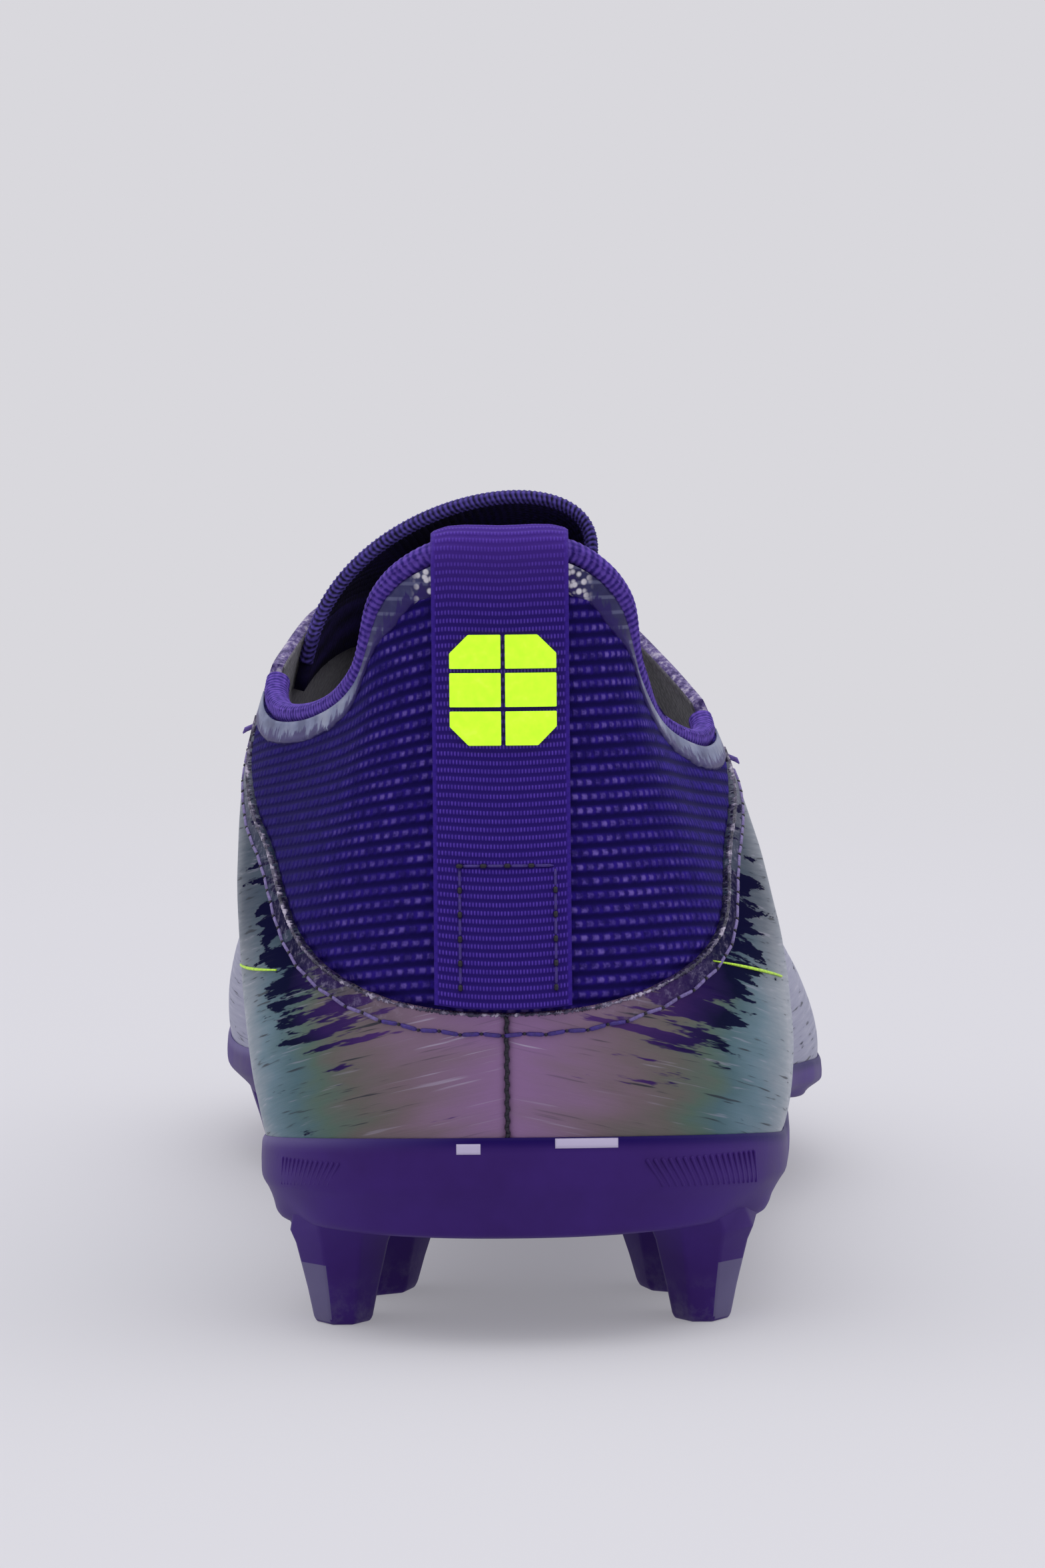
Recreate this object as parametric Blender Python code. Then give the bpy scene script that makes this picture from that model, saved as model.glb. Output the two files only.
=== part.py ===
"""Soccer cleat, right shoe, as an assembly of named solids.

Metres, +Z up, +Y from heel to toe, +X to the outer (lateral) side. The shoe is worked out in a frame of its own,
with the heel seam at x = 0, y = 0 and the floor at z = 0, and is then centred over the origin.

The upper's surface is a ring of ribs. Each rib is one cubic curve that climbs from the feather line, where the
upper meets the outsole's rim, to the opening's edge: the collar at the rear, the throat over the instep and the
vamp point in front. A loop value runs round the ring: 0 at the heel seam, -1 and +1 at the toe tip, negative on
the inner (medial) side. Upper, heel panel, rolled collar, strap and tongue are all cut from this one surface.
"""

import math
from bisect import bisect_right
from collections import namedtuple
from functools import lru_cache

import bmesh
import bpy
from mathutils import Vector

# Main sizes of the last
SHOE_LENGTH = 0.276
BALL_WIDTH = 0.089
HEEL_TAB_HEIGHT = 0.100
HEEL_CUP_HEIGHT = 0.0268

# Walls and clearances
PIECE_GAP = 0.0003
SEAT_GAP = 0.0005
UPPER_WALL = 0.0018
PANEL_WALL = 0.0030
PANEL_RECESS = 0.0004
TONGUE_WALL = 0.0026
TONGUE_TUCK = 0.007
TONGUE_EASE = 0.0010
INSOLE_THICKNESS = 0.0030

# Plan outline
HEEL_ROUND = 0.038
HEEL_ROUND_POWER = 2.2
TOE_ROUND = 0.070
TOE_ROUND_POWER = 2.2
RIB_SPLAY = 0.025

# Heel panel, rolled collar and strap
PANEL_END_HEIGHT = 0.0022
ROLL_HALF_WIDTH = 0.0019
ROLL_HALF_HEIGHT = 0.0014
QUARTER_CORNER_RISE = 0.0026
QUARTER_CORNER_RUN = 0.05
STRAP_WIDTH = 0.0177
STRAP_CENTRE = -0.0004
STRAP_THICKNESS = 0.0011
STRAP_FOLD_DROP = 0.012
STRAP_EASE = 0.0008

# Outsole plate
PLATE_THICKNESS = 0.0032
RIM_LIP = 0.0004
RIM_BULGE = 0.0004
BOTTOM_INSET = 0.0045
KEEL_DEPTH = 0.0012
INSOLE_DISH = 0.0012

# Studs
STUD_ROOT_SINK = 0.0026

# How finely the solids are divided
LOOP_COLUMNS = 64
WALL_ROWS = 11
PANEL_COLUMNS = 32
PANEL_ROWS = 6
ROLL_SIDES = 8
STRAP_COLUMNS = 8
STRAP_ROWS = 9
STRAP_TURNS = 6
SOLE_RUNGS = 28
RUNG_STEPS = 6
STUD_SIDES = 8

# Plan of the feather line: distance from the heel as a share of the length, centre line and half width as shares of
# the ball width.
Plan = namedtuple("Plan", "along centre half")
PLAN = (
    Plan(0.000, 0.000, 0.386),
    Plan(0.127, 0.024, 0.384),
    Plan(0.254, 0.052, 0.375),
    Plan(0.362, 0.076, 0.357),
    Plan(0.453, 0.085, 0.366),
    Plan(0.543, 0.076, 0.424),
    Plan(0.634, 0.042, 0.485),
    Plan(0.707, 0.016, 0.500),
    Plan(0.779, -0.010, 0.482),
    Plan(0.870, -0.042, 0.450),
    Plan(1.000, -0.092, 0.410),
)

# Heights along the sole, as shares of the heel cup's height: the rim on each side, the underside of the plate.
Level = namedtuple("Level", "along rim_medial rim_lateral bottom")
LEVELS = (
    Level(0.00, 1.00, 1.00, 0.50),
    Level(0.06, 0.93, 0.93, 0.50),
    Level(0.13, 0.86, 0.85, 0.50),
    Level(0.25, 0.82, 0.79, 0.51),
    Level(0.40, 0.91, 0.80, 0.60),
    Level(0.52, 0.82, 0.71, 0.53),
    Level(0.64, 0.67, 0.61, 0.41),
    Level(0.75, 0.66, 0.62, 0.40),
    Level(0.87, 0.79, 0.78, 0.50),
    Level(1.00, 1.07, 1.07, 0.80),
)

# Ribs of the upper. station: place round the loop. edge: the opening's edge, as shares of ball width, length and tab
# height. out, up: the curve's lower handle, from the feather line. reach, dip: its upper handle, from the edge, as a
# share of the tab height and in degrees below level.
Rib = namedtuple("Rib", "station edge_x edge_y edge_z out up reach dip")
HEEL_RIB = Rib(0.00, 0.000, 0.011, 1.013, 0.039, 0.25, 0.22, 104)
TOE_RIB = Rib(1.00, -0.062, 0.574, 0.639, 0.034, 0.19, 0.61, 13)
MEDIAL_RIBS = (
    Rib(0.05, -0.098, 0.015, 1.009, 0.039, 0.25, 0.22, 102),
    Rib(0.10, -0.174, 0.031, 0.959, 0.042, 0.24, 0.20, 95),
    Rib(0.15, -0.220, 0.055, 0.851, 0.051, 0.22, 0.18, 82),
    Rib(0.20, -0.284, 0.098, 0.800, 0.058, 0.20, 0.17, 75),
    Rib(0.25, -0.350, 0.150, 0.788, 0.065, 0.18, 0.17, 71),
    Rib(0.30, -0.366, 0.196, 0.821, 0.070, 0.17, 0.19, 71),
    Rib(0.33, -0.344, 0.225, 0.861, 0.068, 0.17, 0.21, 72),
    Rib(0.36, -0.306, 0.255, 0.908, 0.064, 0.17, 0.23, 70),
    Rib(0.40, -0.247, 0.300, 0.934, 0.056, 0.19, 0.24, 62),
    Rib(0.46, -0.180, 0.362, 0.911, 0.045, 0.20, 0.25, 50),
    Rib(0.52, -0.152, 0.416, 0.861, 0.040, 0.19, 0.27, 42),
    Rib(0.60, -0.135, 0.465, 0.790, 0.038, 0.17, 0.32, 34),
    Rib(0.70, -0.129, 0.511, 0.723, 0.036, 0.15, 0.41, 26),
    Rib(0.80, -0.124, 0.543, 0.678, 0.034, 0.16, 0.51, 19),
    Rib(0.90, -0.101, 0.565, 0.650, 0.034, 0.18, 0.59, 15),
)
LATERAL_RIBS = (
    Rib(0.05, 0.098, 0.015, 1.009, 0.039, 0.25, 0.22, 102),
    Rib(0.10, 0.169, 0.030, 0.954, 0.039, 0.24, 0.20, 95),
    Rib(0.15, 0.203, 0.052, 0.851, 0.041, 0.21, 0.18, 78),
    Rib(0.20, 0.242, 0.088, 0.784, 0.043, 0.17, 0.18, 69),
    Rib(0.25, 0.303, 0.137, 0.749, 0.048, 0.14, 0.18, 68),
    Rib(0.30, 0.315, 0.188, 0.774, 0.048, 0.14, 0.19, 67),
    Rib(0.33, 0.266, 0.221, 0.832, 0.046, 0.14, 0.21, 66),
    Rib(0.36, 0.198, 0.256, 0.893, 0.040, 0.15, 0.23, 65),
    Rib(0.40, 0.143, 0.301, 0.921, 0.032, 0.16, 0.25, 59),
    Rib(0.46, 0.104, 0.364, 0.898, 0.028, 0.16, 0.27, 51),
    Rib(0.52, 0.077, 0.417, 0.851, 0.024, 0.15, 0.29, 44),
    Rib(0.60, 0.046, 0.467, 0.785, 0.027, 0.14, 0.34, 35),
    Rib(0.70, 0.017, 0.512, 0.721, 0.032, 0.14, 0.42, 27),
    Rib(0.80, 0.001, 0.543, 0.678, 0.034, 0.15, 0.51, 20),
    Rib(0.90, -0.024, 0.565, 0.650, 0.034, 0.18, 0.59, 15),
)

# Seam between the heel panel and the quarters, seen from the side. Shares of the length and of the tab height.
Seam = namedtuple("Seam", "along height")
SEAM = (
    Seam(-0.020, 0.416),
    Seam(0.000, 0.440),
    Seam(0.050, 0.520),
    Seam(0.112, 0.627),
    Seam(0.158, 0.687),
    Seam(0.188, 0.750),
    Seam(0.206, 0.830),
    Seam(0.220, 0.930),
)

# Rungs of the tongue, from its free top edge to its front under the vamp. station: the ribs that a rung joins.
# crest: the point that it arches through at mid-span, as shares of ball width, length and tab height.
Rung = namedtuple("Rung", "station crest_x crest_y crest_z")
TONGUE_RUNGS = (
    Rung(0.343, -0.014, 0.288, 1.074),
    Rung(0.365, -0.022, 0.303, 1.054),
    Rung(0.400, -0.034, 0.331, 1.019),
    Rung(0.460, -0.042, 0.376, 0.961),
    Rung(0.520, -0.043, 0.428, 0.890),
    Rung(0.600, -0.046, 0.472, 0.819),
    Rung(0.700, -0.055, 0.516, 0.748),
    Rung(0.800, -0.060, 0.547, 0.693),
    Rung(0.900, -0.062, 0.567, 0.659),
    Rung(1.000, -0.062, 0.574, 0.639),
)
# The outer side of the top edge is tucked in this many stations further forward. The shift fades out by a station.
TONGUE_SLANT = 0.055
TONGUE_SLANT_END = 0.66
TONGUE_TUCK_STEPS = 2
TONGUE_ARCH_STEPS = 8

# One stud's outline from the plate to the floor. height: share of the height under the plate. spread: of its half
# sizes. The root lies inside the plate.
StudRing = namedtuple("StudRing", "height spread")
STUD_ROOT_SPREAD = 1.95
STUD_RINGS = (
    StudRing(0.96, 1.68),
    StudRing(0.83, 1.46),
    StudRing(0.64, 1.28),
    StudRing(0.34, 1.12),
    StudRing(0.06, 1.02),
    StudRing(0.00, 0.88),
)

# Studs. Tip centre as shares of ball width and length, half sizes in metres, yaw in degrees.
Stud = namedtuple("Stud", "name x y half_x half_y yaw")
STUDS = (
    Stud("heel_rear_medial", -0.247, 0.100, 0.0040, 0.0062, 0),
    Stud("heel_rear_lateral", 0.285, 0.100, 0.0040, 0.0062, 0),
    Stud("heel_front_medial", -0.215, 0.190, 0.0066, 0.0056, 32),
    Stud("heel_front_lateral", 0.268, 0.190, 0.0066, 0.0056, -32),
    Stud("waist_lateral", 0.375, 0.560, 0.0044, 0.0066, 8),
    Stud("ball_medial", -0.330, 0.642, 0.0046, 0.0068, -12),
    Stud("ball_lateral", 0.400, 0.672, 0.0045, 0.0068, 4),
    Stud("middle", 0.020, 0.720, 0.0050, 0.0062, 0),
    Stud("front_medial", -0.385, 0.762, 0.0045, 0.0066, 6),
    Stud("front_lateral", 0.318, 0.790, 0.0045, 0.0066, 16),
    Stud("toe_medial", -0.262, 0.882, 0.0048, 0.0060, 20),
    Stud("toe_lateral", 0.105, 0.895, 0.0048, 0.0060, -18),
)

# Materials: colour, roughness
COLOURS = {
    "film_upper": ((0.20, 0.24, 0.30, 1), 0.25),
    "heel_knit": ((0.019, 0.010, 0.110, 1), 0.80),
    "collar_knit": ((0.10, 0.06, 0.25, 1), 0.85),
    "webbing": ((0.025, 0.011, 0.130, 1), 0.75),
    "rib_knit": ((0.030, 0.014, 0.120, 1), 0.85),
    "moulded_plate": ((0.034, 0.016, 0.120, 1), 0.35),
    "footbed_fabric": ((0.12, 0.11, 0.14, 1), 0.90),
}


def wrap(loop):
    """The same place on the loop, from -1 to 1."""
    return (loop + 1.0) % 2.0 - 1.0


class Track:
    """A smooth curve through rows of values: cubic pieces with parabolic slopes, closed on itself if asked."""

    def __init__(self, keys, rows, closed=False):
        self.keys, self.rows = list(keys), [tuple(row) for row in rows]
        if closed:
            span = self.keys[-1] - self.keys[0]
            self.keys = [self.keys[-2] - span] + self.keys + [self.keys[1] + span]
            self.rows = [self.rows[-2]] + self.rows + [self.rows[1]]
        self.slopes = [self.slope(i) for i in range(len(self.keys))]

    def chord(self, i):
        """Slope of the straight line from row i to the next."""
        step = self.keys[i + 1] - self.keys[i]
        return [(b - a) / step for a, b in zip(self.rows[i], self.rows[i + 1])]

    def slope(self, i):
        """Slope of the curve at row i."""
        last = len(self.keys) - 1
        if i in (0, last):
            return self.chord(min(i, last - 1))
        before, after = self.keys[i] - self.keys[i - 1], self.keys[i + 1] - self.keys[i]
        pairs = zip(self.chord(i - 1), self.chord(i))
        return [(a * after + b * before) / (before + after) for a, b in pairs]

    def at(self, key):
        """Values at a key."""
        i = min(max(bisect_right(self.keys, key) - 1, 0), len(self.keys) - 2)
        step = self.keys[i + 1] - self.keys[i]
        u = (key - self.keys[i]) / step
        start, end = (1 + 2 * u) * (1 - u) ** 2, u * u * (3 - 2 * u)
        leave, arrive = u * (1 - u) ** 2 * step, u * u * (u - 1) * step
        rows = zip(self.rows[i], self.slopes[i], self.rows[i + 1], self.slopes[i + 1])
        return [a * start + m * leave + b * end + n * arrive for a, m, b, n in rows]


PLAN_TRACK = Track([row.along for row in PLAN], [row[1:] for row in PLAN])
LEVEL_TRACK = Track([row.along for row in LEVELS], [row[1:] for row in LEVELS])
LOOP_RIBS = (
    [TOE_RIB._replace(station=-1.0)]
    + [rib._replace(station=-rib.station) for rib in reversed(MEDIAL_RIBS)]
    + [HEEL_RIB]
    + list(LATERAL_RIBS)
    + [TOE_RIB]
)
RIB_TRACK = Track([rib.station for rib in LOOP_RIBS], [rib[1:] for rib in LOOP_RIBS], closed=True)
RUNG_TRACK = Track([rung.station for rung in TONGUE_RUNGS], [rung[1:] for rung in TONGUE_RUNGS])
SEAM_TRACK = Track([row.along for row in SEAM], [row[1:] for row in SEAM])


def rounding(distance, radius, power):
    """How much of the full width is left this near a rounded end."""
    share = min(max(1.0 - distance / radius, 0.0), 1.0)
    return (1.0 - share**power) ** (1.0 / power)


def plate_bottom(y):
    """Height of the plate's underside."""
    return LEVEL_TRACK.at(min(max(y / SHOE_LENGTH, 0.0), 1.0))[2] * HEEL_CUP_HEIGHT


@lru_cache(maxsize=None)
def feather(loop):
    """Point of the feather line."""
    loop = wrap(loop)
    along = (1.0 - math.cos(math.pi * abs(loop))) / 2.0
    y = along * SHOE_LENGTH
    centre, half = PLAN_TRACK.at(along)
    half *= rounding(y, HEEL_ROUND, HEEL_ROUND_POWER)
    half *= rounding(SHOE_LENGTH - y, TOE_ROUND, TOE_ROUND_POWER)
    side = math.copysign(1.0, loop)
    rim = LEVEL_TRACK.at(along)[0 if loop < 0 else 1]
    return Vector(((centre + side * half) * BALL_WIDTH, y, rim * HEEL_CUP_HEIGHT))


@lru_cache(maxsize=None)
def outward(loop):
    """Level unit vector that points out of the plan outline."""
    step = 0.004
    run = feather(loop + step) - feather(loop - step)
    return Vector((run.y, -run.x, 0.0)).normalized()


@lru_cache(maxsize=None)
def rib_handles(loop):
    """The four control points of one rib."""
    loop = wrap(loop)
    edge_x, edge_y, edge_z, out, up, reach, dip = RIB_TRACK.at(loop)
    foot = feather(loop)
    edge = Vector((edge_x * BALL_WIDTH, edge_y * SHOE_LENGTH, edge_z * HEEL_TAB_HEIGHT))
    low = foot + outward(loop) * out * BALL_WIDTH + Vector((0, 0, up * HEEL_TAB_HEIGHT))
    splay = foot + outward(loop) * RIB_SPLAY - edge
    splay = Vector((splay.x, splay.y, 0.0)).normalized()
    fall = splay * math.cos(math.radians(dip)) - Vector((0, 0, math.sin(math.radians(dip))))
    return foot, low, edge + fall * reach * HEEL_TAB_HEIGHT, edge


def bezier(points, u):
    """Point of a cubic curve."""
    a, b, c, d = points
    v = 1.0 - u
    return a * v**3 + b * (3 * v * v * u) + c * (3 * v * u * u) + d * u**3


def surface(loop, climb):
    """Point of the upper's outer surface: climb runs from 0 at the feather line to 1 at the opening."""
    return bezier(rib_handles(loop), climb)


def rib_length(loop):
    """Length of a rib."""
    steps = 12
    points = [surface(loop, i / steps) for i in range(steps + 1)]
    return sum((b - a).length for a, b in zip(points, points[1:]))


def climb_direction(loop, climb):
    """Unit vector up the rib."""
    step = 0.01
    return (surface(loop, climb) - surface(loop, climb - step)).normalized()


def normal(loop, climb):
    """Unit vector out of the surface."""
    step = 0.004
    across = surface(loop + step, climb) - surface(loop - step, climb)
    return across.cross(climb_direction(loop, climb)).normalized()


def under(loop, climb, depth):
    """Point this far below the outer surface, or above it if the depth is negative."""
    return surface(loop, climb) - normal(loop, climb) * depth


def seam_height(y):
    """Height of the heel panel's seam."""
    along = min(max(y / SHOE_LENGTH, SEAM[0].along), SEAM[-1].along)
    return SEAM_TRACK.at(along)[0] * HEEL_TAB_HEIGHT


def below_seam(point, clearance):
    """Whether a point lies below the heel panel's seam by more than a clearance, measured square to the seam."""
    step = 0.0005
    slope = (seam_height(point.y + step) - seam_height(point.y - step)) / (2 * step)
    return point.z < seam_height(point.y) - clearance * math.hypot(1.0, slope)


@lru_cache(maxsize=None)
def seam_climb(loop, clearance=0.0):
    """Where a rib crosses the heel panel's seam, or comes this close to it, or 1 if it doesn't."""
    low, high = 0.05, 1.0
    if below_seam(surface(loop, high), clearance):
        return 1.0
    for _ in range(40):
        middle = (low + high) / 2
        if below_seam(surface(loop, middle), clearance):
            low = middle
        else:
            high = middle
    return high


def panel_end(side):
    """Loop value where the heel panel tapers down to its end height."""
    low, high = 0.05, 0.45
    for _ in range(40):
        middle = (low + high) / 2
        loop = side * middle
        if (1.0 - seam_climb(loop)) * rib_length(loop) > PANEL_END_HEIGHT:
            low = middle
        else:
            high = middle
    return side * low


def material(name):
    """The named material."""
    found = bpy.data.materials.get(name)
    if found:
        return found
    made = bpy.data.materials.new(name)
    made.use_nodes = True
    shader = made.node_tree.nodes["Principled BSDF"]
    colour, roughness = COLOURS[name]
    shader.inputs["Base Color"].default_value = colour
    shader.inputs["Roughness"].default_value = roughness
    return made


def add_object(name, mesh, material_name):
    """Puts a mesh in the scene as one named sub-part."""
    mesh.materials.append(material(material_name))
    made = bpy.data.objects.new(name, mesh)
    bpy.context.scene.collection.objects.link(made)
    return made


def finish_mesh(name, bm):
    """Turns a bmesh into a smooth-shaded mesh with its creases kept."""
    bmesh.ops.recalc_face_normals(bm, faces=bm.faces)
    mesh = bpy.data.meshes.new(name)
    bm.to_mesh(mesh)
    bm.free()
    mesh.shade_smooth()
    mesh.set_sharp_from_angle(angle=math.radians(40))
    return mesh


def add_grid(bm, rows, closed=False):
    """Quads over rows of points, closed round each row if asked. Returns the rows of vertices."""
    made = [[bm.verts.new(point) for point in row] for row in rows]
    for below, above in zip(made, made[1:]):
        count = len(below)
        for j in range(count if closed else count - 1):
            k = (j + 1) % count
            bm.faces.new((below[j], below[k], above[k], above[j]))
    return made


def add_shell(bm, outer, inner, closed=False):
    """A solid wall between two sheets of points that match row for row, with its rims closed."""
    skins = [add_grid(bm, outer, closed), add_grid(bm, inner, closed)]
    for i in (0, -1):
        near, far = skins[0][i], skins[1][i]
        for j in range(len(near) if closed else len(near) - 1):
            k = (j + 1) % len(near)
            bm.faces.new((near[j], near[k], far[k], far[j]))
    if closed:
        return
    for j in (0, -1):
        near, far = [row[j] for row in skins[0]], [row[j] for row in skins[1]]
        for i in range(len(near) - 1):
            bm.faces.new((near[i], near[i + 1], far[i + 1], far[i]))


def panel_columns():
    """Loop values of the heel panel's columns, which the rolled collar shares."""
    start, end = panel_end(-1), panel_end(1)
    return [start + (end - start) * j / PANEL_COLUMNS for j in range(PANEL_COLUMNS + 1)]


def upper_columns():
    """Loop values of the upper's columns: the heel panel's, a pair where the edge steps up, even ones elsewhere."""
    start, end = panel_end(-1), panel_end(1)
    step = PIECE_GAP / SHOE_LENGTH
    pairs = [start - 2.6 * step, start - step, end + step, end + 2.6 * step]
    spare = 0.6 / LOOP_COLUMNS
    even = [-1.0 + 2.0 * j / LOOP_COLUMNS for j in range(LOOP_COLUMNS)]
    return sorted(panel_columns() + pairs + [c for c in even if not start - spare < c < end + spare])


def upper_top(loop):
    """How far up its rib the upper reaches: to the heel panel's seam at the rear, to the opening elsewhere."""
    step = PIECE_GAP / SHOE_LENGTH
    beyond = abs(loop) - abs(panel_end(math.copysign(1, loop)))
    if beyond < 2 * step:
        return seam_climb(loop, 1.3 * PIECE_GAP)
    return 1.0 + QUARTER_CORNER_RISE / rib_length(loop) * max(0.0, 1.0 - beyond / QUARTER_CORNER_RUN) ** 2


def build_upper():
    """Vamp and quarters: one hollow wall, open at collar, throat and heel panel, and underneath."""
    columns = [(loop, upper_top(loop)) for loop in upper_columns()]
    shares = [i / WALL_ROWS for i in range(WALL_ROWS + 1)]
    skins = []
    for depth in (0.0, UPPER_WALL):
        skins.append([[under(loop, top * share, depth) for loop, top in columns] for share in shares])
    bm = bmesh.new()
    add_shell(bm, *skins, closed=True)
    return add_object("upper", finish_mesh("upper", bm), "film_upper")


def build_heel_panel():
    """Knit panel at the back of the heel, between the seam and the rolled collar."""
    lows = [(loop, seam_climb(loop)) for loop in panel_columns()]
    skins = []
    for depth in (PANEL_RECESS, PANEL_RECESS + PANEL_WALL):
        shares = [i / PANEL_ROWS for i in range(PANEL_ROWS + 1)]
        skins.append([[under(loop, low + (1 - low) * share, depth) for loop, low in lows] for share in shares])
    bm = bmesh.new()
    add_shell(bm, *skins)
    return add_object("heel_panel", finish_mesh("heel_panel", bm), "heel_knit")


def off_edge(loop):
    """Unit vector that points off the opening's edge, square to it and level with the surface."""
    step = 0.004
    return normal(loop, 1.0).cross(surface(loop + step, 1.0) - surface(loop - step, 1.0)).normalized()


def roll_centre(loop):
    """Middle of the rolled collar over the heel panel's top edge."""
    return under(loop, 1.0, PANEL_RECESS + PANEL_WALL / 2) + off_edge(loop) * (ROLL_HALF_HEIGHT + PIECE_GAP)


def build_collar_roll():
    """Rolled knit binding along the heel panel's top edge, from one quarter to the other."""
    bm = bmesh.new()
    turns = [2 * math.pi * (k + 0.5) / ROLL_SIDES for k in range(ROLL_SIDES)]
    rings = []
    for loop in panel_columns():
        across, up = normal(loop, 1.0) * ROLL_HALF_WIDTH, off_edge(loop) * ROLL_HALF_HEIGHT
        rings.append([roll_centre(loop) + across * math.cos(a) + up * math.sin(a) for a in turns])
    made = add_grid(bm, rings, closed=True)
    bm.faces.new(made[0])
    bm.faces.new(made[-1])
    return add_object("collar_roll", finish_mesh("collar_roll", bm), "collar_knit")


def loop_for(x, point):
    """Loop value at the back of the heel for which a point that depends on it has this x."""
    low, high = -0.2, 0.2
    for _ in range(30):
        middle = (low + high) / 2
        if point(middle).x < x:
            low = middle
        else:
            high = middle
    return low


def under_at(x, climb, depth):
    """Point this far below the outer surface, at this x at the back of the heel."""
    return under(loop_for(x, lambda loop: under(loop, climb, depth)), climb, depth)


def strap_path(x, lift):
    """One lengthwise line of the strap, lifted off what it lies on: up the heel, over the roll, down inside."""
    edge_loop = loop_for(x, roll_centre)
    low = seam_climb(loop_for(x, lambda loop: surface(loop, 0.4))) + PIECE_GAP / rib_length(0.0)
    high = 1.0 - ROLL_HALF_HEIGHT / rib_length(0.0)
    depth = PANEL_RECESS - STRAP_EASE - lift
    path = []
    for i in range(STRAP_ROWS + 1):
        path.append(under_at(x, low + (high - low) * i / STRAP_ROWS, depth))
    centre, across, up = roll_centre(edge_loop), normal(edge_loop, 1.0), off_edge(edge_loop)
    wide, tall = ROLL_HALF_WIDTH + STRAP_EASE + lift, ROLL_HALF_HEIGHT + STRAP_EASE + lift
    for i in range(STRAP_TURNS + 1):
        turn = math.pi * i / STRAP_TURNS
        path.append(centre + across * wide * math.cos(turn) + up * tall * math.sin(turn))
    inner = PANEL_RECESS + PANEL_WALL + PIECE_GAP + lift
    for drop in (0.35, 0.7, 1.0):
        path.append(under_at(x, 1.0 - drop * STRAP_FOLD_DROP / rib_length(0.0), inner))
    return [Vector((x, point.y, point.z)) for point in path]


def build_heel_strap():
    """Webbing pull strap, sewn up the back of the heel and folded over the collar."""
    lines = [STRAP_CENTRE + STRAP_WIDTH * (j / STRAP_COLUMNS - 0.5) for j in range(STRAP_COLUMNS + 1)]
    bm = bmesh.new()
    add_shell(bm, *[[strap_path(x, lift) for x in lines] for lift in (STRAP_THICKNESS, 0.0)])
    return add_object("heel_strap", finish_mesh("heel_strap", bm), "webbing")


def tongue_edge(loop, climb):
    """Point of the tongue's outer face where it lies under the upper."""
    return under(loop, climb, UPPER_WALL + PIECE_GAP)


def tongue_rung(station):
    """One rung of the tongue: tucked under the inner quarter, arched over the instep, tucked under the outer one."""
    sides = []
    share = max(0.0, (TONGUE_SLANT_END - station) / (TONGUE_SLANT_END - TONGUE_RUNGS[0].station))
    for loop in (-station, station + TONGUE_SLANT * share * share * (3 - 2 * share)):
        low, high = 1.0 - TONGUE_TUCK / rib_length(loop), 1.0 + TONGUE_EASE / rib_length(loop)
        climbs = [low + (high - low) * i / TONGUE_TUCK_STEPS for i in range(TONGUE_TUCK_STEPS + 1)]
        sides.append([tongue_edge(loop, climb) for climb in climbs])
    start, end = sides[0][-1], sides[1][-1]
    crest_x, crest_y, crest_z = RUNG_TRACK.at(station)
    crest = Vector((crest_x * BALL_WIDTH, crest_y * SHOE_LENGTH, crest_z * HEEL_TAB_HEIGHT))
    handle = (crest - (start + end) / 2) / 0.75 if station < 1.0 else Vector()
    arch = (start, start + handle, end + handle, end)
    middle = [bezier(arch, i / TONGUE_ARCH_STEPS) for i in range(1, TONGUE_ARCH_STEPS)]
    return sides[0] + middle + sides[1][::-1]


def build_tongue():
    """Ribbed knit tongue, sewn in under the throat's edges, with its band standing free above them."""
    bm = bmesh.new()
    half = LOOP_COLUMNS // 2
    stations = [j / half for j in range(half + 1) if j / half > TONGUE_RUNGS[0].station]
    add_grid(bm, [tongue_rung(station) for station in stations])
    bmesh.ops.remove_doubles(bm, verts=bm.verts, dist=1e-6)
    made = add_object("tongue", finish_mesh("tongue", bm), "rib_knit")
    wall = made.modifiers.new("wall", "SOLIDIFY")
    wall.thickness = TONGUE_WALL
    wall.offset = -1.0
    wall.use_even_offset = True
    wall.use_quality_normals = True
    return made


def sole_loop(offset, height):
    """Points round the sole, this far outside the feather line. height gives each one's z."""
    points = []
    for j in range(2 * SOLE_RUNGS):
        loop = -1.0 + j / SOLE_RUNGS
        foot = feather(loop)
        point = foot + outward(loop) * offset
        points.append(Vector((point.x, point.y, height(foot))))
    return points


def fill_sole(bm, ring, shape):
    """Fills a ring of vertices with rungs from side to side. shape gives the height change at a share of a rung."""
    rungs = [[ring[SOLE_RUNGS]]]
    for i in range(1, SOLE_RUNGS):
        inner, outer = ring[SOLE_RUNGS - i], ring[SOLE_RUNGS + i]
        row = [inner]
        for k in range(1, RUNG_STEPS):
            share = k / RUNG_STEPS
            point = inner.co.lerp(outer.co, share)
            point.z += shape(point.y, share)
            row.append(bm.verts.new(point))
        rungs.append(row + [outer])
    rungs.append([ring[0]])
    for row, ahead in zip(rungs, rungs[1:]):
        for k in range(RUNG_STEPS):
            corners = (row[min(k, len(row) - 1)], row[min(k + 1, len(row) - 1)])
            corners += (ahead[min(k + 1, len(ahead) - 1)], ahead[min(k, len(ahead) - 1)])
            bm.faces.new(dict.fromkeys(corners))


def keel(y, share):
    """The underside's shallow lengthwise keel, which stiffens the waist."""
    waist = math.exp(-(((y / SHOE_LENGTH - 0.40) / 0.16) ** 2))
    return -KEEL_DEPTH * waist * math.sin(math.pi * share) ** 2


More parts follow.
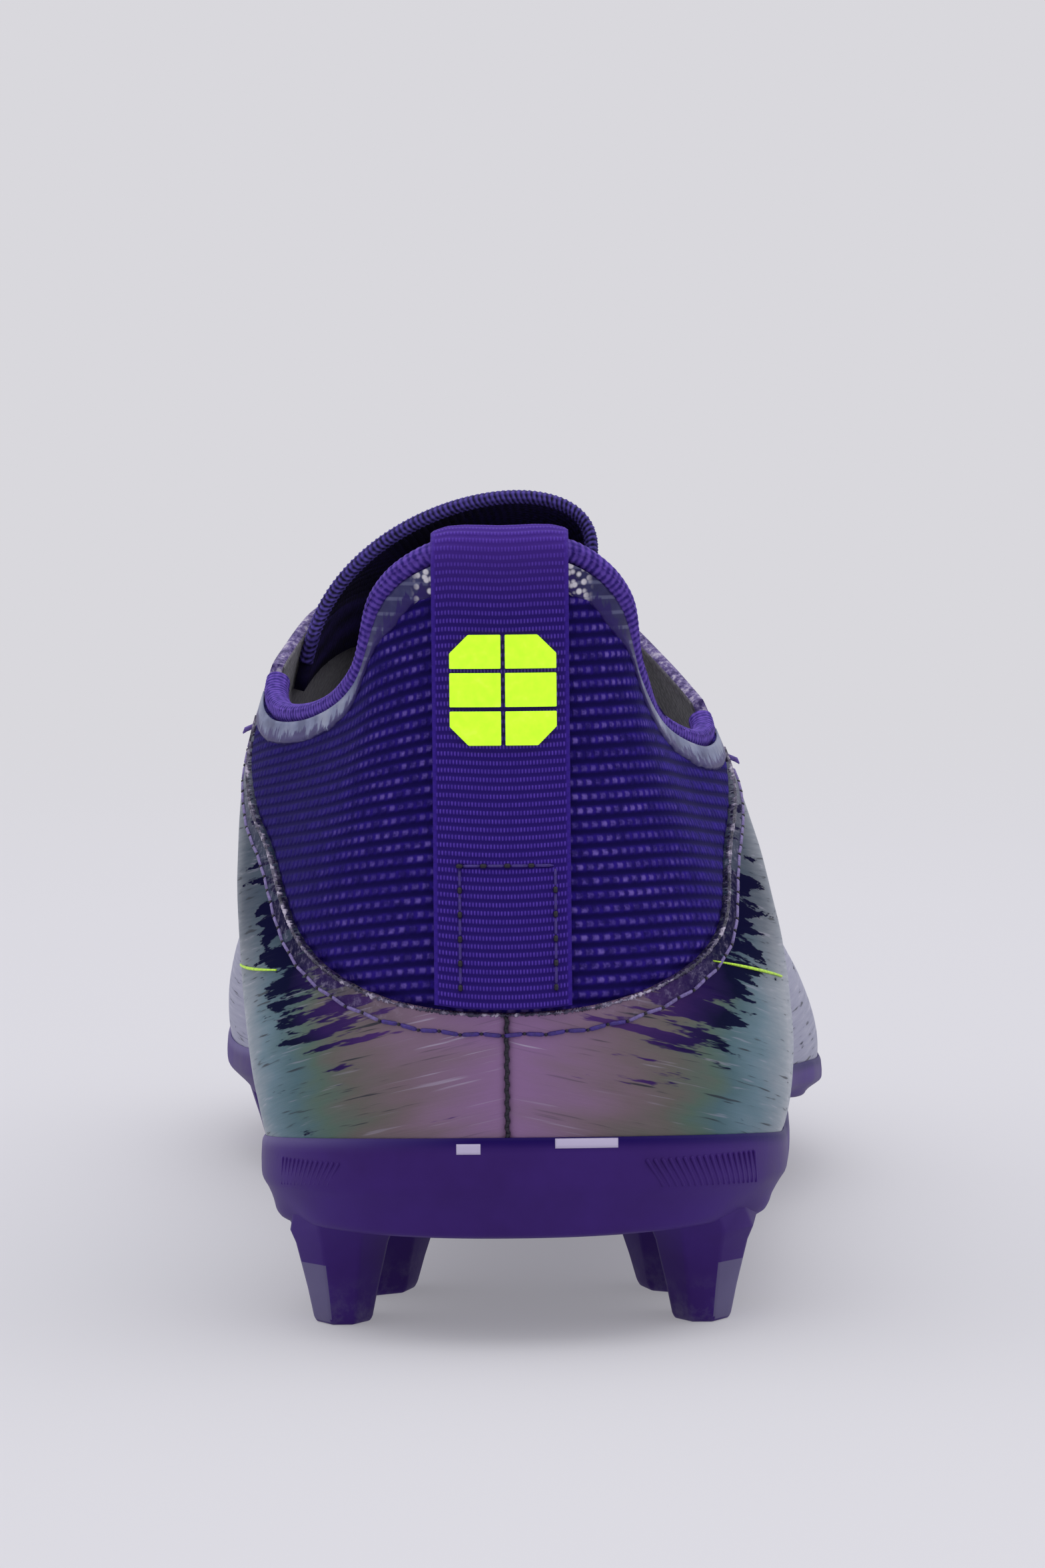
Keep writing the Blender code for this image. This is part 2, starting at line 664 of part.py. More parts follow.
def stud_ring(stud, spread, height):
    """One ring of a stud. height gives z at a distance along the shoe."""
    turn = math.radians(stud.yaw)
    ring = []
    for k in range(STUD_SIDES):
        angle = 2 * math.pi * (k + 0.5) / STUD_SIDES
        x, y = math.cos(angle), math.sin(angle)
        square = spread * max(abs(x), abs(y)) ** -0.55
        x, y = x * square * stud.half_x, y * square * stud.half_y
        side = stud.x * BALL_WIDTH + x * math.cos(turn) - y * math.sin(turn)
        along = stud.y * SHOE_LENGTH + x * math.sin(turn) + y * math.cos(turn)
        ring.append(Vector((side, along, height(along))))
    return ring


def stud_rings(stud):
    """Rings of one stud, from its root inside the plate to its tip on the floor."""
    rings = [stud_ring(stud, STUD_ROOT_SPREAD, lambda along: plate_bottom(along) + STUD_ROOT_SINK)]
    for row in STUD_RINGS:
        rings.append(stud_ring(stud, row.spread, lambda along: plate_bottom(along) * row.height))
    return rings


def build_studs():
    """The studs, as one helper that the plate is joined with."""
    bm = bmesh.new()
    for stud in STUDS:
        made = add_grid(bm, stud_rings(stud), closed=True)
        bm.faces.new(made[0])
        bm.faces.new(made[-1])
    helper = add_object("stud_set", finish_mesh("stud_set", bm), "moulded_plate")
    helper.hide_render = True
    helper.display_type = "WIRE"
    return helper


def build_outsole():
    """Moulded plate with its cup-shaped rim and its studs, all one solid."""
    floor = lambda foot: plate_bottom(foot.y) + PLATE_THICKNESS
    rim = lambda foot: foot.z - SEAT_GAP
    part_way = lambda share: lambda foot: plate_bottom(foot.y) * (1 - share) + foot.z * share
    bm = bmesh.new()
    rings = [
        sole_loop(-UPPER_WALL, floor),
        sole_loop(-UPPER_WALL, rim),
        sole_loop(RIM_LIP, rim),
        sole_loop(RIM_LIP + RIM_BULGE, part_way(0.75)),
        sole_loop(RIM_LIP, part_way(0.45)),
        sole_loop(-BOTTOM_INSET, part_way(0.0)),
    ]
    made = add_grid(bm, rings, closed=True)
    fill_sole(bm, made[0], lambda y, share: 0.0)
    fill_sole(bm, made[-1], keel)
    outsole = add_object("outsole", finish_mesh("outsole", bm), "moulded_plate")
    joined = outsole.modifiers.new("studs", "BOOLEAN")
    joined.operation = "UNION"
    joined.solver = "EXACT"
    joined.object = build_studs()
    return outsole


def build_insole():
    """Footbed inside the outsole's rim, slightly dished towards its edge."""
    low = lambda foot: plate_bottom(foot.y) + PLATE_THICKNESS + PIECE_GAP
    high = lambda foot: low(foot) + INSOLE_THICKNESS
    dish = lambda y, share: -INSOLE_DISH * math.sin(math.pi * share) ** 0.5
    side = -(UPPER_WALL + SEAT_GAP)
    bm = bmesh.new()
    made = add_grid(bm, [sole_loop(side, low), sole_loop(side, high)], closed=True)
    fill_sole(bm, made[0], lambda y, share: 0.0)
    fill_sole(bm, made[-1], dish)
    return add_object("insole", finish_mesh("insole", bm), "footbed_fabric")


def centre_over_origin(parts):
    """Moves the shoe so that its box is centred over the origin, standing on the floor."""
    bpy.context.view_layer.update()
    graph = bpy.context.evaluated_depsgraph_get()
    corners = [Vector(corner) for part in parts for corner in part.evaluated_get(graph).bound_box]
    middle = [(min(c[k] for c in corners) + max(c[k] for c in corners)) / 2 for k in (0, 1)]
    shoe = bpy.data.objects.new("shoe", None)
    bpy.context.scene.collection.objects.link(shoe)
    for part in parts:
        part.parent = shoe
    bpy.data.objects["stud_set"].parent = shoe
    shoe.location = (-middle[0], -middle[1], 0.0)


def main():
    """Builds the shoe."""
    for old in list(bpy.data.objects):
        bpy.data.objects.remove(old)
    parts = [
        build_outsole(),
        build_insole(),
        build_upper(),
        build_heel_panel(),
        build_collar_roll(),
        build_heel_strap(),
        build_tongue(),
    ]
    centre_over_origin(parts)


main()
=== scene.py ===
"""Soccer cleat, right shoe: the looks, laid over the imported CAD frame.

Metres, +Z up, +Y from heel to toe, +X to the outer side. The upper's skin is worked out on the last, the same curves
that the solids were cut from, in a frame with the heel seam at x = 0, y = 0. Every point is then moved by SEAT into
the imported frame. Lengths that a maker would give in millimetres are written as a number times MM.
"""

import logging
import math
import random
from bisect import bisect_right
from contextlib import contextmanager
from dataclasses import dataclass
from enum import Enum
from functools import partial
from typing import Callable, Iterator, NamedTuple, Sequence

import bpy
import numpy as np
from mathutils import Matrix, Vector, noise
from mathutils.bvhtree import BVHTree


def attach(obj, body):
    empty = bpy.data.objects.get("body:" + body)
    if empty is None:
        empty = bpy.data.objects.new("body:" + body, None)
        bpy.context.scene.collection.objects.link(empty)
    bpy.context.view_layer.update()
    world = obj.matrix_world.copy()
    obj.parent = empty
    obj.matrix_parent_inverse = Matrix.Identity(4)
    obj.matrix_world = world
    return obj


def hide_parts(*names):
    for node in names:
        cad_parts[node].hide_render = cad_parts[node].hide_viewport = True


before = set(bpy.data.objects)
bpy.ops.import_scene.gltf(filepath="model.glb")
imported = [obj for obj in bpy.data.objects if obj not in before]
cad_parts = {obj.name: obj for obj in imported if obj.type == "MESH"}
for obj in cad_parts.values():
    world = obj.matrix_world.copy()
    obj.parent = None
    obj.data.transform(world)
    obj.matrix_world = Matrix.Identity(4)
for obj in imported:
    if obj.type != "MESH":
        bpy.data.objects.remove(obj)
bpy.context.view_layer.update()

LOG = logging.getLogger("cleat")
MM = 0.001
SEAT = Vector((-0.0015792, -0.1374605, 0.0))
PHOTO_HEIGHT = 2353

Piece = bpy.types.Object
Points = Sequence[Sequence[Vector]]
Value = float | str | Sequence[float] | bpy.types.NodeSocket
Add = Callable[..., bpy.types.NodeSocket]
NORMAL_STEP = 0.004
PHOTO_FOCUS = 10603


class Plan(NamedTuple):
    """Plan of the feather line: shares of the length and of the ball width."""

    along: float
    centre: float
    half: float


class Level(NamedTuple):
    """Heights along the sole, as shares of the heel cup's height."""

    along: float
    rim_medial: float
    rim_lateral: float
    bottom: float


class Rib(NamedTuple):
    """One rib of the last: the opening's edge, and the handles of the curve that climbs to it."""

    station: float
    edge_x: float
    edge_y: float
    edge_z: float
    out: float
    up: float
    reach: float
    dip: float


class Seam(NamedTuple):
    """The heel panel's seam from the side: shares of the length and of the tab height."""

    along: float
    height: float


class Rung(NamedTuple):
    """A rung of the tongue: the ribs that it joins and the point that it arches through."""

    station: float
    crest_x: float
    crest_y: float
    crest_z: float


class Stud(NamedTuple):
    """A stud: tip centre as shares of ball width and length, half sizes in metres, yaw in degrees."""

    name: str
    x: float
    y: float
    half_x: float
    half_y: float
    yaw: float


class Ring(NamedTuple):
    """One outline of a stud: its share of the height under the plate, and its spread across and along."""

    height: float
    across: float
    along: float


PLAN = (
    Plan(0.000, 0.000, 0.386),
    Plan(0.127, 0.024, 0.384),
    Plan(0.254, 0.052, 0.375),
    Plan(0.362, 0.076, 0.357),
    Plan(0.453, 0.085, 0.366),
    Plan(0.543, 0.076, 0.424),
    Plan(0.634, 0.042, 0.485),
    Plan(0.707, 0.016, 0.500),
    Plan(0.779, -0.010, 0.482),
    Plan(0.870, -0.042, 0.450),
    Plan(1.000, -0.092, 0.410),
)
LEVELS = (
    Level(0.00, 1.00, 1.00, 0.50),
    Level(0.06, 0.93, 0.93, 0.50),
    Level(0.13, 0.86, 0.85, 0.50),
    Level(0.25, 0.82, 0.79, 0.51),
    Level(0.40, 0.91, 0.80, 0.60),
    Level(0.52, 0.82, 0.71, 0.53),
    Level(0.64, 0.67, 0.61, 0.41),
    Level(0.75, 0.66, 0.62, 0.40),
    Level(0.87, 0.79, 0.78, 0.50),
    Level(1.00, 1.07, 1.07, 0.80),
)
HEEL_RIB = Rib(0.00, 0.000, 0.011, 1.013, 0.039, 0.25, 0.22, 104)
TOE_RIB = Rib(1.00, -0.062, 0.574, 0.639, 0.034, 0.19, 0.61, 13)
MEDIAL_RIBS = (
    Rib(0.05, -0.098, 0.015, 1.009, 0.039, 0.25, 0.22, 102),
    Rib(0.10, -0.174, 0.031, 0.959, 0.042, 0.24, 0.20, 95),
    Rib(0.15, -0.220, 0.055, 0.851, 0.051, 0.22, 0.18, 82),
    Rib(0.20, -0.284, 0.098, 0.800, 0.058, 0.20, 0.17, 75),
    Rib(0.25, -0.350, 0.150, 0.788, 0.065, 0.18, 0.17, 71),
    Rib(0.30, -0.366, 0.196, 0.821, 0.070, 0.17, 0.19, 71),
    Rib(0.33, -0.344, 0.225, 0.861, 0.068, 0.17, 0.21, 72),
    Rib(0.36, -0.306, 0.255, 0.908, 0.064, 0.17, 0.23, 70),
    Rib(0.40, -0.247, 0.300, 0.934, 0.056, 0.19, 0.24, 62),
    Rib(0.46, -0.180, 0.362, 0.911, 0.045, 0.20, 0.25, 50),
    Rib(0.52, -0.152, 0.416, 0.861, 0.040, 0.19, 0.27, 42),
    Rib(0.60, -0.135, 0.465, 0.790, 0.038, 0.17, 0.32, 34),
    Rib(0.70, -0.129, 0.511, 0.723, 0.036, 0.15, 0.41, 26),
    Rib(0.80, -0.124, 0.543, 0.678, 0.034, 0.16, 0.51, 19),
    Rib(0.90, -0.101, 0.565, 0.650, 0.034, 0.18, 0.59, 15),
)
LATERAL_RIBS = (
    Rib(0.05, 0.098, 0.015, 1.009, 0.039, 0.25, 0.22, 102),
    Rib(0.10, 0.169, 0.030, 0.954, 0.039, 0.24, 0.20, 95),
    Rib(0.15, 0.203, 0.052, 0.851, 0.041, 0.21, 0.18, 78),
    Rib(0.20, 0.242, 0.088, 0.784, 0.043, 0.17, 0.18, 69),
    Rib(0.25, 0.303, 0.137, 0.749, 0.048, 0.14, 0.18, 68),
    Rib(0.30, 0.315, 0.188, 0.774, 0.048, 0.14, 0.19, 67),
    Rib(0.33, 0.266, 0.221, 0.832, 0.046, 0.14, 0.21, 66),
    Rib(0.36, 0.198, 0.256, 0.893, 0.040, 0.15, 0.23, 65),
    Rib(0.40, 0.143, 0.301, 0.921, 0.032, 0.16, 0.25, 59),
    Rib(0.46, 0.104, 0.364, 0.898, 0.028, 0.16, 0.27, 51),
    Rib(0.52, 0.077, 0.417, 0.851, 0.024, 0.15, 0.29, 44),
    Rib(0.60, 0.046, 0.467, 0.785, 0.027, 0.14, 0.34, 35),
    Rib(0.70, 0.017, 0.512, 0.721, 0.032, 0.14, 0.42, 27),
    Rib(0.80, 0.001, 0.543, 0.678, 0.034, 0.15, 0.51, 20),
    Rib(0.90, -0.024, 0.565, 0.650, 0.034, 0.18, 0.59, 15),
)
SEAM = (
    Seam(-0.020, 0.416),
    Seam(0.000, 0.440),
    Seam(0.050, 0.520),
    Seam(0.112, 0.627),
    Seam(0.158, 0.687),
    Seam(0.188, 0.750),
    Seam(0.206, 0.830),
    Seam(0.220, 0.930),
)
RUNGS = (
    Rung(0.343, -0.014, 0.288, 1.074),
    Rung(0.365, -0.022, 0.303, 1.054),
    Rung(0.400, -0.034, 0.331, 1.019),
    Rung(0.460, -0.042, 0.376, 0.961),
    Rung(0.520, -0.043, 0.428, 0.890),
    Rung(0.600, -0.046, 0.472, 0.819),
    Rung(0.700, -0.055, 0.516, 0.748),
    Rung(0.800, -0.060, 0.547, 0.693),
    Rung(0.900, -0.062, 0.567, 0.659),
    Rung(1.000, -0.062, 0.574, 0.639),
)
STUD_RINGS = (
    Ring(1.22, 2.25, 1.60),
    Ring(1.08, 1.96, 1.46),
    Ring(0.96, 1.75, 1.36),
    Ring(0.82, 1.57, 1.24),
    Ring(0.62, 1.42, 1.13),
    Ring(0.34, 1.20, 1.06),
    Ring(0.06, 1.01, 1.00),
    Ring(0.00, 0.92, 0.94),
)
STUDS = (
    Stud("heel_rear_medial", -0.247, 0.100, 0.0040, 0.0062, 0),
    Stud("heel_rear_lateral", 0.285, 0.100, 0.0040, 0.0062, 0),
    Stud("heel_front_medial", -0.215, 0.190, 0.0066, 0.0056, 32),
    Stud("heel_front_lateral", 0.268, 0.190, 0.0066, 0.0056, -32),
    Stud("waist_lateral", 0.375, 0.560, 0.0044, 0.0066, 8),
    Stud("ball_medial", -0.330, 0.642, 0.0046, 0.0068, -12),
    Stud("ball_lateral", 0.400, 0.672, 0.0045, 0.0068, 4),
    Stud("middle", 0.020, 0.720, 0.0050, 0.0062, 0),
    Stud("front_medial", -0.385, 0.762, 0.0045, 0.0066, 6),
    Stud("front_lateral", 0.318, 0.790, 0.0045, 0.0066, 16),
    Stud("toe_medial", -0.262, 0.882, 0.0048, 0.0060, 20),
    Stud("toe_lateral", 0.105, 0.895, 0.0048, 0.0060, -18),
)


class Track:
    """A smooth curve through rows of values: cubic pieces with parabolic slopes."""

    def __init__(self, keys: Sequence[float], rows: Sequence[Sequence[float]], closed: bool = False) -> None:
        """Keeps the rows, with one more beyond each end if the curve closes on itself.

        Args:
            keys: Where each row stands.
            rows: The values.
            closed: Whether the last row is the first one again.
        """
        self.keys, self.rows = list(keys), [tuple(row) for row in rows]
        if closed:
            span = self.keys[-1] - self.keys[0]
            self.keys = [self.keys[-2] - span] + self.keys + [self.keys[1] + span]
            self.rows = [self.rows[-2]] + self.rows + [self.rows[1]]
        self.slopes = [self.slope(i) for i in range(len(self.keys))]

    def chord(self, i: int) -> list[float]:
        """Slope of the straight line from row i to the next."""
        step = self.keys[i + 1] - self.keys[i]
        return [(b - a) / step for a, b in zip(self.rows[i], self.rows[i + 1])]

    def slope(self, i: int) -> list[float]:
        """Slope of the curve at row i."""
        last = len(self.keys) - 1
        if i in (0, last):
            return self.chord(min(i, last - 1))
        before, after = self.keys[i] - self.keys[i - 1], self.keys[i + 1] - self.keys[i]
        pairs = zip(self.chord(i - 1), self.chord(i))
        return [(a * after + b * before) / (before + after) for a, b in pairs]

    def at(self, key: float) -> list[float]:
        """Values at a key."""
        i = min(max(bisect_right(self.keys, key) - 1, 0), len(self.keys) - 2)
        step = self.keys[i + 1] - self.keys[i]
        u = (key - self.keys[i]) / step
        start, end = (1 + 2 * u) * (1 - u) ** 2, u * u * (3 - 2 * u)
        leave, arrive = u * (1 - u) ** 2 * step, u * u * (u - 1) * step
        rows = zip(self.rows[i], self.slopes[i], self.rows[i + 1], self.slopes[i + 1])
        return [a * start + m * leave + b * end + n * arrive for a, m, b, n in rows]


def bezier(points: Sequence[Vector], u: float) -> Vector:
    """Point of a cubic curve."""
    a, b, c, d = points
    v = 1.0 - u
    return a * v**3 + b * (3 * v * v * u) + c * (3 * v * u * u) + d * u**3


def smooth(value: float, low: float, high: float) -> float:
    """0 below low, 1 above high and a soft step between."""
    share = min(max((value - low) / (high - low), 0.0), 1.0)
    return share * share * (3 - 2 * share)


def halved(low: float, high: float, steps: int, is_low: Callable[[float], bool]) -> float:
    """Closes in on a value by halving an interval.

    Args:
        low: The interval's start.
        high: Its end.
        steps: How often it is halved.
        is_low: Whether the value lies beyond this one.

    Returns:
        The last interval's start.
    """
    for _ in range(steps):
        middle = (low + high) / 2
        if is_low(middle):
            low = middle
        else:
            high = middle
    return low


def run_along(points: Sequence[Vector], unit: float = 1.0) -> np.ndarray:
    """Way along a line at each of its points."""
    return np.cumsum([0.0] + [(b - a).length / unit for a, b in zip(points, points[1:])])


class Last:
    """The last's surface: a ring of ribs that climb from the feather line to the opening's edge.

    A loop value runs round the ring: 0 at the heel seam, -1 and +1 at the toe, negative on the inner side. A climb
    value runs up each rib, from 0 to 1.
    """

    length = 276 * MM
    ball = 89 * MM
    tab = 100 * MM
    cup = 26.8 * MM

    def __init__(self) -> None:
        """Draws the tables' curves and measures the girth."""
        ribs = [TOE_RIB._replace(station=-1.0)]
        ribs += [rib._replace(station=-rib.station) for rib in reversed(MEDIAL_RIBS)]
        ribs += [HEEL_RIB, *LATERAL_RIBS, TOE_RIB]
        self.ribs = Track([rib.station for rib in ribs], [rib[1:] for rib in ribs], closed=True)
        self.plan = Track([row.along for row in PLAN], [row[1:] for row in PLAN])
        self.levels = Track([row.along for row in LEVELS], [row[1:] for row in LEVELS])
        self.seam = Track([row.along for row in SEAM], [row[1:] for row in SEAM])
        self.handles: dict[float, tuple[Vector, ...]] = {}
        self.feet: dict[float, Vector] = {}
        self.seams: dict[tuple[float, float], float] = {}
        self.ends: dict[int, float] = {}
        steps = 400
        self.girth_keys = [-1.0 + 2.0 * i / steps for i in range(steps + 1)]
        points = [self.surface(loop, 0.5) for loop in self.girth_keys]
        runs = run_along(points)
        self.girths = [float(run - runs[steps // 2]) for run in runs]

    def girth(self, loop: float) -> float:
        """Signed way round the shoe from the heel seam, half way up the ribs."""
        return float(np.interp(loop, self.girth_keys, self.girths))

    def loop_at_girth(self, girth: float) -> float:
        """Loop value at a signed way round from the heel seam."""
        return float(np.interp(girth, self.girths, self.girth_keys))

    def bottom(self, y: float) -> float:
        """Height of the plate's underside."""
        return self.levels.at(min(max(y / self.length, 0.0), 1.0))[2] * self.cup

    @staticmethod
    def rounding(distance: float, radius: float, power: float) -> float:
        """How much of the full width is left this near a rounded end."""
        share = min(max(1.0 - distance / radius, 0.0), 1.0)
        return (1.0 - share**power) ** (1.0 / power)

    def feather(self, loop: float) -> Vector:
        """Point of the feather line."""
        loop = (loop + 1.0) % 2.0 - 1.0
        if loop not in self.feet:
            along = (1.0 - math.cos(math.pi * abs(loop))) / 2.0
            y = along * self.length
            centre, half = self.plan.at(along)
            half *= self.rounding(y, 38 * MM, 2.2) * self.rounding(self.length - y, 70 * MM, 2.2)
            rim = self.levels.at(along)[0 if loop < 0 else 1]
            side = math.copysign(1.0, loop)
            self.feet[loop] = Vector(((centre + side * half) * self.ball, y, rim * self.cup))
        return self.feet[loop]

    def outward(self, loop: float) -> Vector:
        """Level unit vector that points out of the plan outline."""
        run = self.feather(loop + NORMAL_STEP) - self.feather(loop - NORMAL_STEP)
        return Vector((run.y, -run.x, 0.0)).normalized()

    def curve(self, loop: float) -> tuple[Vector, ...]:
        """The four control points of one rib."""
        loop = (loop + 1.0) % 2.0 - 1.0
        if loop not in self.handles:
            edge_x, edge_y, edge_z, out, up, reach, dip = self.ribs.at(loop)
            foot = self.feather(loop)
            edge = Vector((edge_x * self.ball, edge_y * self.length, edge_z * self.tab))
            low = foot + self.outward(loop) * out * self.ball + Vector((0, 0, up * self.tab))
            splay = foot + self.outward(loop) * 0.025 - edge
            splay = Vector((splay.x, splay.y, 0.0)).normalized()
            fall = splay * math.cos(math.radians(dip)) - Vector((0, 0, math.sin(math.radians(dip))))
            self.handles[loop] = (foot, low, edge + fall * reach * self.tab, edge)
        return self.handles[loop]

    def surface(self, loop: float, climb: float) -> Vector:
        """Point of the upper's outer surface."""
        return bezier(self.curve(loop), climb)

    def rise(self, loop: float) -> float:
        """Length of a rib."""
        points = [self.surface(loop, i / 12) for i in range(13)]
        return sum((b - a).length for a, b in zip(points, points[1:]))

    def upward(self, loop: float, climb: float) -> Vector:
        """Unit vector up the rib."""
        return (self.surface(loop, climb) - self.surface(loop, climb - 0.01)).normalized()

    def normal(self, loop: float, climb: float) -> Vector:
        """Unit vector out of the surface."""
        across = self.surface(loop + NORMAL_STEP, climb) - self.surface(loop - NORMAL_STEP, climb)
        return across.cross(self.upward(loop, climb)).normalized()

    def under(self, loop: float, climb: float, depth: float) -> Vector:
        """Point this far below the outer surface, or above it if the depth is negative."""
        return self.surface(loop, climb) - self.normal(loop, climb) * depth

    def seam_height(self, y: float) -> float:
        """Height of the heel panel's seam."""
        return self.seam.at(min(max(y / self.length, SEAM[0].along), SEAM[-1].along))[0] * self.tab

    def below_seam(self, point: Vector, clearance: float) -> bool:
        """Whether a point lies below the seam by more than a clearance, measured square to the seam."""
        slope = (self.seam_height(point.y + 0.5 * MM) - self.seam_height(point.y - 0.5 * MM)) / MM
        return point.z < self.seam_height(point.y) - clearance * math.hypot(1.0, slope)

    def seam_climb(self, loop: float, clearance: float = 0.0) -> float:
        """Where a rib crosses the heel panel's seam, or comes this close to it, or 1 if it doesn't."""
        key = (loop, clearance)
        if key not in self.seams:
            low, high = 0.05, 1.0
            if self.below_seam(self.surface(loop, high), clearance):
                low = 1.0
            while high - low > 1e-6:
                middle = (low + high) / 2
                if self.below_seam(self.surface(loop, middle), clearance):
                    low = middle
                else:
                    high = middle
            self.seams[key] = high
        return self.seams[key]

    def panel_rise(self, loop: float) -> float:
        """Length of the part of a rib above the heel panel's seam."""
        return (1.0 - self.seam_climb(loop)) * self.rise(loop)

    def panel_end(self, side: int) -> float:
        """Loop value where the heel panel tapers down to its end height."""
        if side not in self.ends:
            self.ends[side] = side * halved(0.05, 0.45, 30, lambda at: self.panel_rise(side * at) > 2.2 * MM)
        return self.ends[side]

    def panel_loops(self, steps: int, trim: float = 1.0) -> list[float]:
        """Loop values spread evenly over the heel panel, from its inner end to its outer one."""
        start, end = self.panel_end(-1) * trim, self.panel_end(1) * trim
        return [start + (end - start) * i / steps for i in range(steps + 1)]

    def off_edge(self, loop: float) -> Vector:
        """Unit vector that points off the opening's edge, square to it and level with the surface."""
        run = self.surface(loop + NORMAL_STEP, 1.0) - self.surface(loop - NORMAL_STEP, 1.0)
        return self.normal(loop, 1.0).cross(run).normalized()


def colour(code: str) -> tuple[float, float, float, float]:
    """Linear colour of an sRGB hex code such as 3A2B7C."""
    parts = [int(code[i : i + 2], 16) / 255 for i in (0, 2, 4)]
    linear = [c / 12.92 if c <= 0.04045 else ((c + 0.055) / 1.055) ** 2.4 for c in parts]
    return (linear[0], linear[1], linear[2], 1.0)


class Spec(NamedTuple):
    """A node's type and settings, the inputs that it takes in order, and its output."""

    type: str
    settings: dict[str, str] = {}
    inputs: Sequence[int | str] = range(5)
    output: int | str = 0


class Kind(Enum):
    """The kinds of shader node in use."""

    ABS = Spec("Math", {"operation": "ABSOLUTE"})
    ADD = Spec("Math", {"operation": "ADD"})
    FLOOR = Spec("Math", {"operation": "FLOOR"})
    FRACT = Spec("Math", {"operation": "FRACT"})
    LEAST = Spec("Math", {"operation": "MINIMUM"})
    MINUS = Spec("Math", {"operation": "SUBTRACT"})
    MODULO = Spec("Math", {"operation": "MODULO"})
    SIGN = Spec("Math", {"operation": "SIGN"})
    SINE = Spec("Math", {"operation": "SINE"})
    TIMES = Spec("Math", {"operation": "MULTIPLY"})
    TIMES_ADD = Spec("Math", {"operation": "MULTIPLY_ADD"})
    STRETCH = Spec("VectorMath", {"operation": "MULTIPLY"})
    RANGE = Spec("MapRange")
    STEP = Spec("MapRange", {"interpolation_type": "SMOOTHSTEP"})
    RAMP = Spec("ValToRGB")
    BLEND = Spec("Mix", {"data_type": "RGBA"}, ("Factor", "A", "B"), 2)
    NOISE = Spec("TexNoise", {}, ("Vector", "Scale", "Detail", "Roughness"))
    CELLS = Spec("TexVoronoi", {}, ("Vector", "Scale"))
    BUMP = Spec("Bump", {}, ("Strength", "Distance", "Height"))
    SPLIT = Spec("SeparateXYZ")
    COMBINE = Spec("CombineXYZ")
    UV = Spec("UVMap")
    MARK = Spec("Attribute", output="Fac")
    PLACE = Spec("TexCoord", output="Object")
    GLOW = Spec("Emission")
    MIX_SHADER = Spec("MixShader")


def feed(socket: bpy.types.NodeSocket, value: Value) -> None:
    """Links a socket to an output, or sets it to a number or a hex colour."""
    if isinstance(value, bpy.types.NodeSocket):
        socket.id_data.links.new(value, socket)
    else:
        socket.default_value = colour(value) if isinstance(value, str) else value


def node(
    tree: bpy.types.NodeTree, kind: Kind, *values: Value, stops: Sequence[tuple[float, str]] = (), **settings: str
) -> bpy.types.NodeSocket:
    """Adds a node with its settings and links.

    Args:
        tree: The material's nodes.
        kind: What it does.
        *values: What feeds its inputs, in order.
        stops: Places and hex colours of a colour ramp, from left to right.
        **settings: More of the node's own settings.

    Returns:
        Its output.
    """
    spec = kind.value
    made = tree.nodes.new("ShaderNode" + spec.type)
    for key, value in {**spec.settings, **settings}.items():
        setattr(made, key, value)
    if stops:
        elements = made.color_ramp.elements
        while len(elements) < len(stops):
            elements.new(0.5)
        for element, (place, _) in zip(elements, stops):
            element.position = place
        for element, (_, code) in zip(elements, stops):
            element.color = colour(code)
    for key, value in zip(spec.inputs, values):
        feed(made.inputs[key], value)
    return made.outputs[spec.output]


@dataclass(frozen=True)
class Finish:
    """A finish: a procedural material, made once and then shared."""

    name: str

    def material(self) -> bpy.types.Material:
        """The finish's material."""
        found = bpy.data.materials.get(self.name)
        if found:
            return found
        made = bpy.data.materials.new(self.name)
        made.use_nodes = True
        shader = made.node_tree.nodes["Principled BSDF"]
        for name, value in self.paint(partial(node, made.node_tree)).items():
            feed(shader.inputs[name], value)
        return made

    def paint(self, add: Add) -> dict[str, Value]:
        """Wires the finish up.

        Args:
            add: Adds a node to the material.

        Returns:
            What feeds each of the shader's inputs.
        """
        raise NotImplementedError


